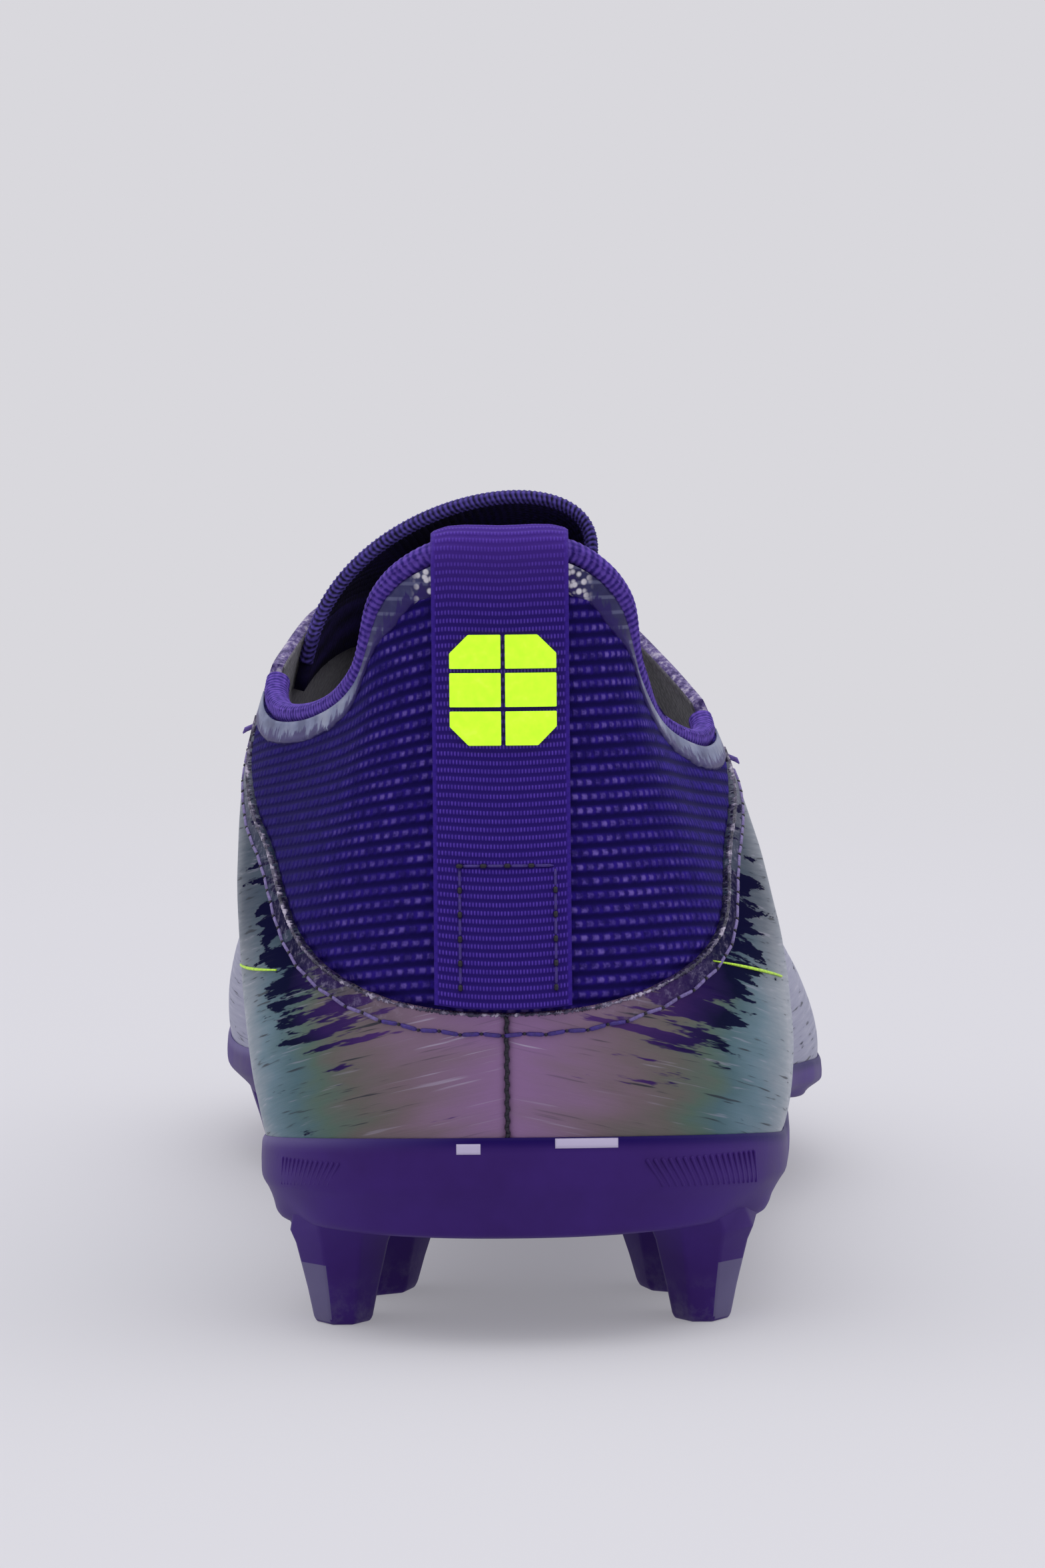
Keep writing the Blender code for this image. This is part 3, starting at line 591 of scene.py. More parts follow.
@dataclass(frozen=True)
class PearlFilm(Finish):
    """Thin thermoplastic film pressed over a knit: pearly, with dark brush strokes and fine embossed lines."""

    name: str = "pressed_pearl_film"
    heel_radius: float = 58.0
    fall: float = 16.5
    streak_long: float = 12.0
    streak_wide: float = 0.65

    def paint(self, add: Add) -> dict[str, Value]:
        """Wires the finish up.

        Args:
            add: Adds a node to the material.

        Returns:
            What feeds each of the shader's inputs.
        """
        flow = add(Kind.SPLIT, add(Kind.UV, uv_map="flow")).node.outputs
        below = add(Kind.MARK, attribute_name="below_edge")
        collar = add(Kind.MARK, attribute_name="collar")
        arc = add(Kind.ABS, flow[0])
        side = add(Kind.SIGN, flow[0])
        apart = add(Kind.TIMES, side, 37.0)
        # The strokes fall away round the heel, and run level along the sides.
        bend = add(Kind.SINE, add(Kind.LEAST, add(Kind.TIMES, arc, 1 / self.heel_radius), math.pi / 2))
        place = add(Kind.COMBINE, arc, add(Kind.TIMES_ADD, bend, self.fall, flow[1]), apart)
        # The film's pearl runs from lilac at the back through olive and teal to silver at the sides. Its tint is the
        # film's own, but this shift is painted iridescent reflection, fixed by place on the shoe, and the silver at the
        # sides is painted reflection.
        cloud = add(Kind.NOISE, add(Kind.STRETCH, place, (1 / 20, 1 / 6, 1)), 1.0, 3.0, 0.55)
        wander = add(Kind.ADD, arc, add(Kind.RANGE, cloud, 0.3, 0.7, -4.0, 4.0))
        share = add(Kind.TIMES_ADD, add(Kind.TIMES_ADD, flow[1], -0.3, wander), 1 / 120, 0.075)
        stops = (
            (0.00, "8F6E98"), (0.055, "856C84"), (0.10, "77666F"), (0.15, "67635F"), (0.195, "556A60"),
            (0.245, "4C6A73"), (0.31, "5E7A88"), (0.38, "7D8A96"), (0.46, "979EA8"), (0.60, "949BAA"),
            (0.72, "839BA5"), (0.85, "9BA5AF"), (1.00, "8F90A8"),
        )
        pearl = add(Kind.RAMP, share, stops=stops)
        # High on the sides the film lies over dark yarn and turns slate.
        high = add(Kind.STEP, flow[1], 38.0, 56.0, 0.0, 0.85)
        beside = add(Kind.STEP, arc, 22.0, 34.0, 0.0, 1.0)
        slate = add(Kind.TIMES, add(Kind.TIMES, high, beside), add(Kind.STEP, arc, 55.0, 85.0, 1.0, 0.0))
        pearl = add(Kind.BLEND, slate, pearl, "203044")
        # Long thin strokes that fall away forwards.
        stroke_place = add(Kind.STRETCH, place, (1 / self.streak_long, 1 / self.streak_wide, 1))
        stroke = add(Kind.NOISE, stroke_place, 1.0, 2.0, 0.55)
        strokes = add(Kind.STEP, stroke, 0.62, 0.70, 0.0, 0.85)
        strokes = add(Kind.TIMES, strokes, add(Kind.STEP, arc, 3.0, 16.0, 0.3, 1.0))
        streaked = add(Kind.BLEND, strokes, pearl, "252B36")
        # Paler hairlines between them; near the back seam they are brightened into painted glints.
        hair_and_glint = add(Kind.STEP, stroke, 0.38, 0.28, 0.0, 0.24)
        back = add(Kind.STEP, arc, 5.0, 22.0, 2.0, 0.0)
        hair_and_glint = add(Kind.TIMES, hair_and_glint, add(Kind.TIMES_ADD, back, add(Kind.STEP, below, 4.0, 12.0, 1.0, 0.0), 1.0))
        with_hair_and_glint = add(Kind.BLEND, hair_and_glint, streaked, "B7AFC6")
        # Broad dark brush patches that hug the heel panel's seam, purple at the back and navy at the sides.
        patch = add(Kind.NOISE, add(Kind.STRETCH, place, (1 / 15, 1 / 2.1, 1)), 1.0, 4.0, 0.6)
        near = add(Kind.STEP, below, 3.0, 20.0, 1.0, 0.0)
        flank = add(Kind.STEP, arc, 7.0, 24.0, 0.0, 1.0)
        pull = add(Kind.TIMES, add(Kind.TIMES, near, flank), add(Kind.STEP, arc, 45.0, 80.0, 1.0, 0.0))
        pull = add(Kind.TIMES, pull, add(Kind.STEP, flow[1], 50.0, 62.0, 1.0, 0.6))
        pull = add(Kind.TIMES_ADD, pull, add(Kind.TIMES_ADD, side, 0.035, 0.285), patch)
        brush = add(Kind.STEP, pull, 0.655, 0.70, 0.0, 0.95)
        ink = add(Kind.RAMP, share, stops=((0.08, "4E3070"), (0.16, "2C1A54"), (0.22, "100C30"), (1.0, "0A0A22")))
        painted = add(Kind.BLEND, brush, with_hair_and_glint, ink)
        # Between the seam and its stitches the film is pressed darker, and flecked.
        fleck = add(Kind.NOISE, add(Kind.PLACE), 1000.0, 3.0, 0.7)
        pressed = add(Kind.RAMP, fleck, stops=((0.4, "262244"), (0.55, "46425C"), (0.68, "9089A4")))
        hem = add(Kind.TIMES, add(Kind.STEP, below, 2.3, 2.9, 0.45, 0.0), flank)
        painted = add(Kind.BLEND, hem, painted, pressed)
        # Along the collar the film is cut close, and the purple yarn shows through it in flecks.
        flecks = add(Kind.RAMP, fleck, stops=((0.36, "2E2058"), (0.5, "65568C"), (0.66, "B0A8BE")))
        band = add(Kind.TIMES, add(Kind.STEP, below, 2.4, 3.4, 1.0, 0.0), collar)
        final = add(Kind.BLEND, band, painted, flecks)
        # Fine parallel lines are embossed in the film, and its gloss breaks up along them.
        bump = add(Kind.BUMP, 0.3, 0.3 * MM, stroke)
        rough = add(Kind.RANGE, stroke, 0.3, 0.7, 0.34, 0.5)
        # The inked and slate parts don't shine.
        gloss = add(Kind.RANGE, brush, 0.0, 0.9, 0.14, 0.0)
        gloss = add(Kind.TIMES, gloss, add(Kind.RANGE, slate, 0.0, 0.8, 1.0, 0.2))
        return {"Base Color": final, "Normal": bump, "Roughness": rough, "Specular IOR Level": gloss}


@dataclass(frozen=True)
class CutFilm(Finish):
    """The film's own cut edge: pale, milky and slightly ragged."""

    name: str = "cut_film_edge"
    tone: str = "564E6C"

    def paint(self, add: Add) -> dict[str, Value]:
        """Wires the finish up.

        Args:
            add: Adds a node to the material.

        Returns:
            What feeds each of the shader's inputs.
        """
        grain = add(Kind.NOISE, add(Kind.PLACE), 640.0, 3.0, 0.6)
        tint = add(Kind.RAMP, grain, stops=((0.41, "1E1838"), (0.52, self.tone), (0.64, "C0B6CC")))
        bump = add(Kind.BUMP, 0.5, 0.2 * MM, grain)
        return {
            "Base Color": tint,
            "Normal": bump,
            "Roughness": 0.42,
            "Subsurface Weight": 0.15,
            "Subsurface Radius": (0.001, 0.001, 0.001),
        }


@dataclass(frozen=True)
class CollarFilm(Finish):
    """Grey see-through film heat-pressed over the knit along the collar, with the knit's bars showing in it."""

    name: str = "pressed_collar_film"
    bar_pitch: float = 2.0

    def paint(self, add: Add) -> dict[str, Value]:
        """Wires the finish up.

        Args:
            add: Adds a node to the material.

        Returns:
            What feeds each of the shader's inputs.
        """
        flow = add(Kind.SPLIT, add(Kind.UV, uv_map="flow")).node.outputs
        arc = add(Kind.ABS, flow[0])
        wave = add(Kind.SINE, add(Kind.TIMES, flow[1], 2 * math.pi / self.bar_pitch))
        bars = add(Kind.STEP, wave, 0.55, 0.95, 0.0, 0.42)
        place = add(Kind.PLACE)
        cloud = add(Kind.NOISE, place, 260.0, 3.0)
        tint = add(Kind.RAMP, cloud, stops=((0.3, "211C4C"), (0.55, "2F2E5E"), (0.75, "454770")))
        barred = add(Kind.BLEND, bars, tint, "777A9C")
        # Where the collar dips, the film is wider and milky.
        milk = add(Kind.RAMP, cloud, stops=((0.35, "4E5478"), (0.5, "6F7798"), (0.7, "8A90A8")))
        barred = add(Kind.BLEND, add(Kind.STEP, arc, 26.0, 33.0, 0.0, 1.0), barred, milk)
        # Its lower edge is pressed into the knit in streaks.
        down = add(Kind.MARK, attribute_name="down")
        streak = add(Kind.NOISE, add(Kind.STRETCH, place, (900.0, 900.0, 260.0)), 1.0, 3.0, 0.6)
        pressed = add(Kind.STEP, add(Kind.TIMES_ADD, down, 0.55, streak), 0.74, 0.9, 0.0, 0.92)
        barred = add(Kind.BLEND, pressed, barred, "24125E")
        # White mesh dots show through next to the strap.
        dot = add(Kind.STEP, add(Kind.CELLS, place, 1150.0), 0.28, 0.6, 1.0, 0.0)
        dotted = add(Kind.TIMES, dot, add(Kind.STEP, arc, 12.0, 14.5, 0.95, 0.0))
        final = add(Kind.BLEND, dotted, barred, "E4E0E6")
        bump = add(Kind.BUMP, 0.5, 0.15 * MM, wave)
        return {"Base Color": final, "Normal": bump, "Roughness": 0.42, "Specular IOR Level": 0.25}


@dataclass(frozen=True)
class HeelKnit(Finish):
    """Flat-knit yarn in raised courses: V stitches catch the light, and the ground between them is nearly black."""

    name: str = "heel_course_knit"
    course: float = 1.8
    stitch: float = 1.42

    def paint(self, add: Add) -> dict[str, Value]:
        """Wires the finish up.

        Args:
            add: Adds a node to the material.

        Returns:
            What feeds each of the shader's inputs.
        """
        flow = add(Kind.SPLIT, add(Kind.UV, uv_map="flow")).node.outputs
        arc = add(Kind.ABS, flow[0])
        place = add(Kind.PLACE)
        fuzz = add(Kind.NOISE, place, 700.0, 3.0, 0.6)
        # Height inside one course, from 0 to 1, with its row number.
        rows = add(Kind.TIMES, flow[1], 1 / self.course)
        row = add(Kind.FLOOR, rows)
        inside = add(Kind.FRACT, rows)
        away = add(Kind.ABS, add(Kind.MINUS, inside, 0.5))
        crest = add(Kind.STEP, away, 0.16, 0.45, 1.0, 0.0)
        # V stitches: the legs lean with the height inside the course.
        lean = add(Kind.TIMES, away, 0.3)
        leaning = add(Kind.ADD, add(Kind.TIMES_ADD, flow[0], 1 / self.stitch, add(Kind.TIMES, row, 0.37)), lean)
        leg = add(Kind.STEP, add(Kind.SINE, add(Kind.TIMES, leaning, 2 * math.pi)), -0.8, 0.4, 0.0, 1.0)
        loops = add(Kind.TIMES, leg, add(Kind.STEP, away, 0.05, 0.28, 1.0, 0.0))
        lit = add(Kind.TIMES, loops, add(Kind.STEP, arc, 9.0, 42.0, 1.0, 0.12))
        lit = add(Kind.TIMES, lit, add(Kind.RANGE, fuzz, 0.38, 0.62, 0.15, 1.2))
        lit = add(Kind.TIMES, lit, add(Kind.RANGE, add(Kind.NOISE, place, 230.0, 2.0), 0.38, 0.62, 0.35, 1.0))
        half = add(Kind.TIMES, crest, add(Kind.RANGE, fuzz, 0.35, 0.65, 0.35, 1.0))
        yarn = add(Kind.BLEND, lit, add(Kind.BLEND, half, "120848", "2A1780"), "705CB0")
        # The inner side of the panel is darkened, more the further round it turns: painted shade.
        yarn = add(Kind.BLEND, add(Kind.RANGE, flow[0], -42.0, -6.0, 0.5, 0.0), yarn, "150A4C")
        bump = add(Kind.BUMP, 0.7, 0.3 * MM, add(Kind.TIMES, add(Kind.TIMES_ADD, leg, 0.6, fuzz), crest))
        return {"Base Color": yarn, "Normal": bump, "Roughness": 0.8, "Specular IOR Level": 0.08}


@dataclass(frozen=True)
class Webbing(Finish):
    """Woven polyamide tape: rows of short warp floats, and a smooth selvedge along each edge."""

    name: str = "woven_webbing"
    row: float = 1.07
    float_pitch: float = 0.43
    half_width: float = 8.85
    selvedge: float = 0.45

    def paint(self, add: Add) -> dict[str, Value]:
        """Wires the finish up.

        Args:
            add: Adds a node to the material.

        Returns:
            What feeds each of the shader's inputs.
        """
        flow = add(Kind.SPLIT, add(Kind.UV, uv_map="flow")).node.outputs
        place = add(Kind.PLACE)
        fuzz = add(Kind.NOISE, place, 1100.0, 2.0)
        rows = add(Kind.TIMES, flow[1], 1 / self.row)
        odd = add(Kind.MODULO, add(Kind.FLOOR, rows), 2.0)
        away = add(Kind.ABS, add(Kind.MINUS, add(Kind.FRACT, rows), 0.5))
        crest = add(Kind.STEP, away, 0.14, 0.36, 1.0, 0.0)
        across = add(Kind.TIMES_ADD, flow[0], 1 / self.float_pitch, add(Kind.TIMES, odd, 0.5))
        floats = add(Kind.STEP, add(Kind.SINE, add(Kind.TIMES, across, 2 * math.pi)), -0.4, 0.7, 0.0, 1.0)
        lit = add(Kind.TIMES, floats, crest)
        # The smooth edge.
        out = add(Kind.ABS, flow[0])
        edge = add(Kind.RANGE, out, self.half_width - self.selvedge - 0.2, self.half_width - self.selvedge, 0.0, 1.0)
        lit = add(Kind.TIMES, lit, add(Kind.RANGE, fuzz, 0.3, 0.7, 0.55, 1.1))
        yarn = add(Kind.BLEND, lit, add(Kind.BLEND, add(Kind.TIMES, crest, 0.5), "25106A", "2E1780"), "5B3EB4")
        body = add(Kind.BLEND, edge, yarn, "331A86")
        # The strap is paler towards its top, over the fold: painted light where it faces up.
        up = add(Kind.SPLIT, place).node.outputs[2]
        body = add(Kind.BLEND, add(Kind.STEP, up, 92 * MM, 107 * MM, 0.0, 0.45), body, "5C38A6")
        bump = add(Kind.BUMP, 0.55, 0.14 * MM, add(Kind.TIMES_ADD, lit, 1.0, fuzz))
        return {"Base Color": body, "Normal": bump, "Roughness": 0.7, "Specular IOR Level": 0.12}


class Tone(Enum):
    """Colours of the sewing thread and trim."""

    LILAC = "7868A6"
    PURPLE = "3E2786"
    BLACK = "130E22"
    NEON = "CBFF27"
    VIOLET = "5E459E"


@dataclass(frozen=True)
class Thread(Finish):
    """Twisted polyester sewing thread of two plies, given a fine grain in its tone and bump."""

    name: str = "twisted_thread"
    tone: Tone = Tone.LILAC

    def paint(self, add: Add) -> dict[str, Value]:
        """Wires the finish up.

        Args:
            add: Adds a node to the material.

        Returns:
            What feeds each of the shader's inputs.
        """
        grain = add(Kind.NOISE, add(Kind.PLACE), 2200.0, 2.0)
        tint = add(Kind.BLEND, add(Kind.RANGE, grain, 0.3, 0.7, 0.55, 1.1), "171028", self.tone.value)
        bump = add(Kind.BUMP, 0.5, 0.1 * MM, grain)
        return {"Base Color": tint, "Normal": bump, "Roughness": 0.5}


@dataclass(frozen=True)
class NeonPrint(Finish):
    """High-build neon ink: flat, even and nearly matt, with the weave just showing in it."""

    name: str = "high_build_neon_print"

    def paint(self, add: Add) -> dict[str, Value]:
        """Wires the finish up.

        Args:
            add: Adds a node to the material.

        Returns:
            What feeds each of the shader's inputs.
        """
        grain = add(Kind.NOISE, add(Kind.PLACE), 900.0, 3.0)
        tint = add(Kind.RAMP, grain, stops=((0.3, "C2F51F"), (0.6, "CBFF27"), (0.8, "D2FF3C")))
        bump = add(Kind.BUMP, 0.2, 0.1 * MM, grain)
        # The ink is given a glow of its own: painted light, as it is no lamp.
        return {
            "Base Color": tint,
            "Normal": bump,
            "Emission Color": tint,
            "Emission Strength": 0.42,
            "Roughness": 0.55,
        }


@dataclass(frozen=True)
class RibKnit(Finish):
    """Knitted yarn in fine ribs. The ribs are in the mesh, and the yarn's own stitches in the bump."""

    name: str = "rib_knit"
    dark: str = "120A2E"
    light: str = "3E3268"
    stitch: float = 0.6
    uneven: float = 0.2

    def paint(self, add: Add) -> dict[str, Value]:
        """Wires the finish up.

        Args:
            add: Adds a node to the material.

        Returns:
            What feeds each of the shader's inputs.
        """
        height = add(Kind.MARK, attribute_name="crest")
        fuzz = add(Kind.NOISE, add(Kind.PLACE), 1300.0, 3.0)
        flow = add(Kind.SPLIT, add(Kind.UV, uv_map="flow")).node.outputs
        wave = add(Kind.SINE, add(Kind.TIMES, flow[1], 2 * math.pi / self.stitch))
        # The colour follows the ribs in the mesh, dark in their troughs and light on their crests: painted shade and
        # highlight.
        mixed = add(Kind.TIMES_ADD, wave, 0.12, height)
        mixed = add(Kind.ADD, mixed, add(Kind.RANGE, fuzz, 0.3, 0.7, -self.uneven, self.uneven))
        tint = add(Kind.RAMP, mixed, stops=((0.05, self.dark), (0.95, self.light)))
        bump = add(Kind.BUMP, 0.5, 0.16 * MM, add(Kind.TIMES_ADD, wave, 0.5, fuzz))
        return {"Base Color": tint, "Normal": bump, "Roughness": 0.8, "Specular IOR Level": 0.2}


@dataclass(frozen=True)
class Lining(Finish):
    """Brushed polyester lining: grey, soft, with a fine square weave."""

    name: str = "brushed_lining"
    dark: str = "38343F"
    light: str = "6A6670"

    def paint(self, add: Add) -> dict[str, Value]:
        """Wires the finish up.

        Args:
            add: Adds a node to the material.

        Returns:
            What feeds each of the shader's inputs.
        """
        place = add(Kind.PLACE)
        # Threads 0.7 mm apart, coarser than the real 0.3 mm so that they show.
        weave = add(Kind.CELLS, place, 1 / (0.7 * MM))
        mixed = add(Kind.TIMES_ADD, weave, -0.5, add(Kind.NOISE, place, 120.0, 4.0))
        tint = add(Kind.RAMP, mixed, stops=((0.0, self.dark), (0.5, self.light)))
        bump = add(Kind.BUMP, 0.4, 0.2 * MM, weave)
        return {"Base Color": tint, "Normal": bump, "Roughness": 0.9, "Sheen Weight": 0.4}


@dataclass(frozen=True)
class MouldedPlate(Finish):
    """Injection-moulded thermoplastic polyurethane: even, semi-gloss, with a fine spark texture from the mould."""

    name: str = "moulded_plate_tpu"
    deep: str = "371E63"
    body: str = "42287A"
    roughness: float = 0.46

    def paint(self, add: Add) -> dict[str, Value]:
        """Wires the finish up.

        Args:
            add: Adds a node to the material.

        Returns:
            What feeds each of the shader's inputs.
        """
        place = add(Kind.PLACE)
        spark = add(Kind.NOISE, place, 1500.0, 2.0)
        cloud = add(Kind.NOISE, place, 45.0, 4.0, 0.6)
        tint = add(Kind.RAMP, cloud, stops=((0.3, self.deep), (0.7, self.body)))
        # Tips and low edges are paler, in patches, towards the ground.
        height = add(Kind.SPLIT, place).node.outputs
        low = add(Kind.RANGE, height[2], 0.5 * MM, 7 * MM, 1.0, 0.0)
        low_patches = add(Kind.RANGE, add(Kind.NOISE, place, 320.0, 5.0, 0.7), 0.45, 0.7, 0.0, 0.5)
        paled_low = add(Kind.BLEND, add(Kind.TIMES, low_patches, low), tint, "6E6888")
        # The lip is a brighter violet. Where it turns the inner corner it is paler: painted highlight.
        across = add(Kind.RANGE, height[0], -36 * MM, 36 * MM)
        edge = add(Kind.RAMP, across, stops=((0.05, "5A4E84"), (0.25, "3A2A6C"), (0.42, "1A0258"), (1.0, "1A0258")))
        final = add(Kind.BLEND, add(Kind.MARK, attribute_name="lip"), paled_low, edge)
        rough = add(Kind.RANGE, cloud, 0.3, 0.7, self.roughness - 0.06, self.roughness + 0.08)
        bump = add(Kind.BUMP, 0.12, 0.1 * MM, spark)
        return {"Base Color": final, "Roughness": rough, "Normal": bump, "Specular IOR Level": 0.09}


@dataclass(frozen=True)
class StudioPaper(Finish):
    """Matt studio paper, very slightly mottled. It glows a little, as paper lit from behind does, most at the back."""

    name: str = "studio_paper"
    tone: str = "CECDD2"
    seen: str = "D9D8DD"
    glow: float = 0.36

    def paint(self, add: Add) -> dict[str, Value]:
        """Wires the finish up.

        Args:
            add: Adds a node to the material.

        Returns:
            What feeds each of the shader's inputs.
        """
        place = add(Kind.PLACE)
        tint = add(Kind.RAMP, add(Kind.NOISE, place, 3.0, 2.0), stops=((0.3, self.tone), (0.7, "D0CFD4")))
        along = add(Kind.SPLIT, place).node.outputs[1]
        share = add(Kind.STEP, along, 0.3, 1.1, self.glow, 1.0)
        nodes = place.id_data.nodes
        lit = add(Kind.MIX_SHADER, share, nodes["Principled BSDF"].outputs[0], add(Kind.GLOW, self.seen, 1.0))
        feed(nodes["Material Output"].inputs[0], lit)
        return {"Base Color": tint, "Roughness": 0.95, "Specular IOR Level": 0.0}


FILM, FILM_EDGE, COLLAR_FILM = PearlFilm(), CutFilm(), CollarFilm()
KNIT, TAPE, PRINT, PLATE = HeelKnit(), Webbing(), NeonPrint(), MouldedPlate()
PALE_PLATE = MouldedPlate("pale_rim_bar_tpu", "C3B8D8", "CFC6E2")
# A paler finish for stud facets that face out and back: painted light.
LIT_FACET_PLATE = MouldedPlate("lit_stud_facet_tpu", "5C547C", "6C668C")
ROLL_KNIT = RibKnit("collar_roll_knit", "2E1A74", "6246AC", 0.5, 0.45)
# The tongue's knit is dark: painted shade, as it lies deep in the shoe's opening.
TONGUE_KNIT = RibKnit("tongue_rib_knit", "0A0520", "20164A", 0.7)
OVERLOCK = RibKnit("tongue_overlock_yarn", "0E0828", "5648A0", 0.9)
LINING = Lining()
FOOTBED = Lining("footbed_cloth", "2C2838", "4C4760")
STITCH = Thread("lilac_thread", Tone.LILAC)
DARK_STITCH = Thread("purple_thread", Tone.PURPLE)
BLACK_STITCH = Thread("black_thread", Tone.BLACK)
ROLL_THREAD = Thread("violet_thread", Tone.VIOLET)
NEON_LINE = Thread("neon_trim", Tone.NEON)


def activate(piece: Piece) -> None:
    """Selects one piece alone and makes it active."""
    bpy.ops.object.select_all(action="DESELECT")
    piece.select_set(True)
    bpy.context.view_layer.objects.active = piece


def hand_over(piece: Piece, slot: str, *finishes: Finish) -> Piece:
    """Gives a piece its finishes and its body.

    Args:
        piece: The piece, in place.
        slot: The record's material slot. Not used.
        *finishes: One for each material index.

    Returns:
        The piece.
    """
    indices = np.empty(len(piece.data.polygons), dtype=np.int32)
    piece.data.polygons.foreach_get("material_index", indices)
    piece.data.materials.clear()
    for finish in finishes:
        piece.data.materials.append(finish.material())
    piece.data.polygons.foreach_set("material_index", indices)
    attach(piece, "root")
    LOG.info("%s: %d faces", piece.name, len(piece.data.polygons))
    return piece


def carried(name: str, rows: Points, flow: np.ndarray | None = None) -> Piece:
    """A grid primitive whose corners are carried onto rows of points on the last.

    Args:
        name: The piece's name.
        rows: Points in the last's frame, row above row.
        flow: A pair of millimetre values for each point, kept as the UV map "flow".

    Returns:
        The piece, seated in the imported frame.
    """
    tall, wide = len(rows), len(rows[0])
    bpy.ops.object.select_all(action="DESELECT")
    bpy.ops.mesh.primitive_grid_add(x_subdivisions=wide - 1, y_subdivisions=tall - 1, size=0.1)
    piece = bpy.context.object
    piece.name = piece.data.name = name
    places = np.array([tuple(point) for row in rows for point in row]) + np.array(SEAT)
    piece.data.vertices.foreach_set("co", places.ravel())
    if flow is not None:
        corners = np.empty(len(piece.data.loops), dtype=np.int32)
        piece.data.loops.foreach_get("vertex_index", corners)
        layer = piece.data.uv_layers[0]
        layer.name = "flow"
        layer.uv.foreach_set("vector", np.asarray(flow).reshape(-1, 2)[corners].ravel())
    piece.data.shade_smooth()
    piece.data.update()
    return piece


def mark(piece: Piece, name: str, values: Sequence[float]) -> None:
    """Keeps one number for each of a piece's points.

    Args:
        piece: The piece, before its doubles are merged.
        name: The attribute's name.
        values: One value a point.
    """
    attribute = piece.data.attributes.new(name, "FLOAT", "POINT")
    attribute.data.foreach_set("value", np.asarray(values, dtype=np.float32).ravel())


@contextmanager
def editing(piece: Piece) -> Iterator[None]:
    """Edit mode on one piece, with all of it selected."""
    activate(piece)
    bpy.ops.object.mode_set(mode="EDIT")
    bpy.ops.mesh.select_all(action="SELECT")
    yield
    bpy.ops.object.mode_set(mode="OBJECT")


def weld(piece: Piece) -> None:
    """Merges a piece's doubled points."""
    with editing(piece):
        bpy.ops.mesh.remove_doubles(threshold=0.01 * MM)


def face_out(piece: Piece) -> None:
    """Turns a closed piece's faces outwards."""
    with editing(piece):
        bpy.ops.mesh.normals_make_consistent(inside=False)


def close_ends(piece: Piece) -> None:
    """Fills the two open ends of a tube or wall."""
    with editing(piece):
        bpy.ops.mesh.select_mode(type="EDGE")
        bpy.ops.mesh.select_non_manifold(extend=False)
        bpy.ops.mesh.edge_face_add()
        bpy.ops.mesh.select_mode(type="VERT")


def add_lining(piece: Piece, first: int) -> None:
    """Gives a piece's faces its second finish, the lining, from this one on."""
    inner = np.zeros(len(piece.data.polygons), dtype=np.int32)
    inner[first:] = 1
    piece.data.polygons.foreach_set("material_index", inner)


def thicken(piece: Piece, wall: float) -> None:
    """Gives a sheet a wall behind its face."""
    activate(piece)
    made = piece.modifiers.new("wall", "SOLIDIFY")
    made.thickness = wall
    made.offset = -1.0
    made.use_quality_normals = True
    bpy.ops.object.modifier_apply(modifier=made.name)


def join(name: str, pieces: Sequence[Piece]) -> Piece:
    """Joins copies into one piece."""
    bpy.ops.object.select_all(action="DESELECT")
    for piece in pieces:
        piece.select_set(True)
    bpy.context.view_layer.objects.active = pieces[0]
    if len(pieces) > 1:
        bpy.ops.object.join()
    piece = bpy.context.object
    piece.name = piece.data.name = name
    return piece


def copied(name: str, pattern: Piece, places: Sequence[Matrix]) -> Piece:
    """Copies a pattern to each of these places, as one piece, and removes the pattern."""
    copies = []
    for place in places:
        copy = bpy.data.objects.new(name, pattern.data.copy())
        copy.data.transform(place)
        bpy.context.scene.collection.objects.link(copy)
        copies.append(copy)
    bpy.data.objects.remove(pattern)
    return join(name, copies)


def settle(piece: Piece) -> None:
    """Puts a piece's place, turn and size into its mesh."""
    activate(piece)
    bpy.ops.object.transform_apply(location=True, rotation=True, scale=True)


def box(place: Sequence[float], size: Sequence[float]) -> Piece:
    """A box of this size round this place."""
    bpy.ops.object.select_all(action="DESELECT")
    bpy.ops.mesh.primitive_cube_add(size=1, location=place)
    made = bpy.context.object
    made.scale = size
    settle(made)
    return made


@dataclass
class StitchRow:
    """A row of sewn stitches: one thread float, modelled once and copied along a line."""

    name: str
    finish: Finish
    length: float = 2.6 * MM
    radius: float = 0.24 * MM
    slot: str = "film_upper"

    def float_mesh(self) -> Piece:
        """One stitch along X, thin at its ends where it dives into the cloth."""
        bpy.ops.object.select_all(action="DESELECT")
        bpy.ops.mesh.primitive_cylinder_add(
            vertices=7, radius=self.radius, depth=self.length * 0.62, rotation=(0, math.pi / 2, 0), location=(0, 0, 0)
        )
        made = bpy.context.object
        settle(made)
        bpy.ops.object.mode_set(mode="EDIT")
        for side in (-1, 1):
            bpy.ops.mesh.select_all(action="DESELECT")
            bpy.ops.object.mode_set(mode="OBJECT")
            for face in made.data.polygons:
                face.select = face.normal.x * side > 0.9
            bpy.ops.object.mode_set(mode="EDIT")
            bpy.ops.mesh.extrude_region_move(
                TRANSFORM_OT_translate={"value": (side * self.length * 0.19, 0, -self.radius * 0.9)}
            )
            bpy.ops.transform.resize(value=(1, 0.35, 0.35), center_override=(side * self.length / 2, 0, -self.radius))
        bpy.ops.object.mode_set(mode="OBJECT")
        made.data.shade_smooth()
        return made

    def sew(self, places: Sequence[tuple[Vector, Vector, Vector]]) -> Piece:
        """Copies the stitch along a row.

        Args:
            places: For each stitch its middle in the last's frame, its direction and the way out of the cloth.

        Returns:
            The row as one piece.
        """
        seats = []
        for point, along, out in places:
            along = along.normalized()
            side = out.cross(along).normalized()
            turn = Matrix((along, side, along.cross(side))).transposed().to_4x4()
            seats.append(Matrix.Translation(point + SEAT) @ turn)
        return hand_over(copied(self.name, self.float_mesh(), seats), self.slot, self.finish)


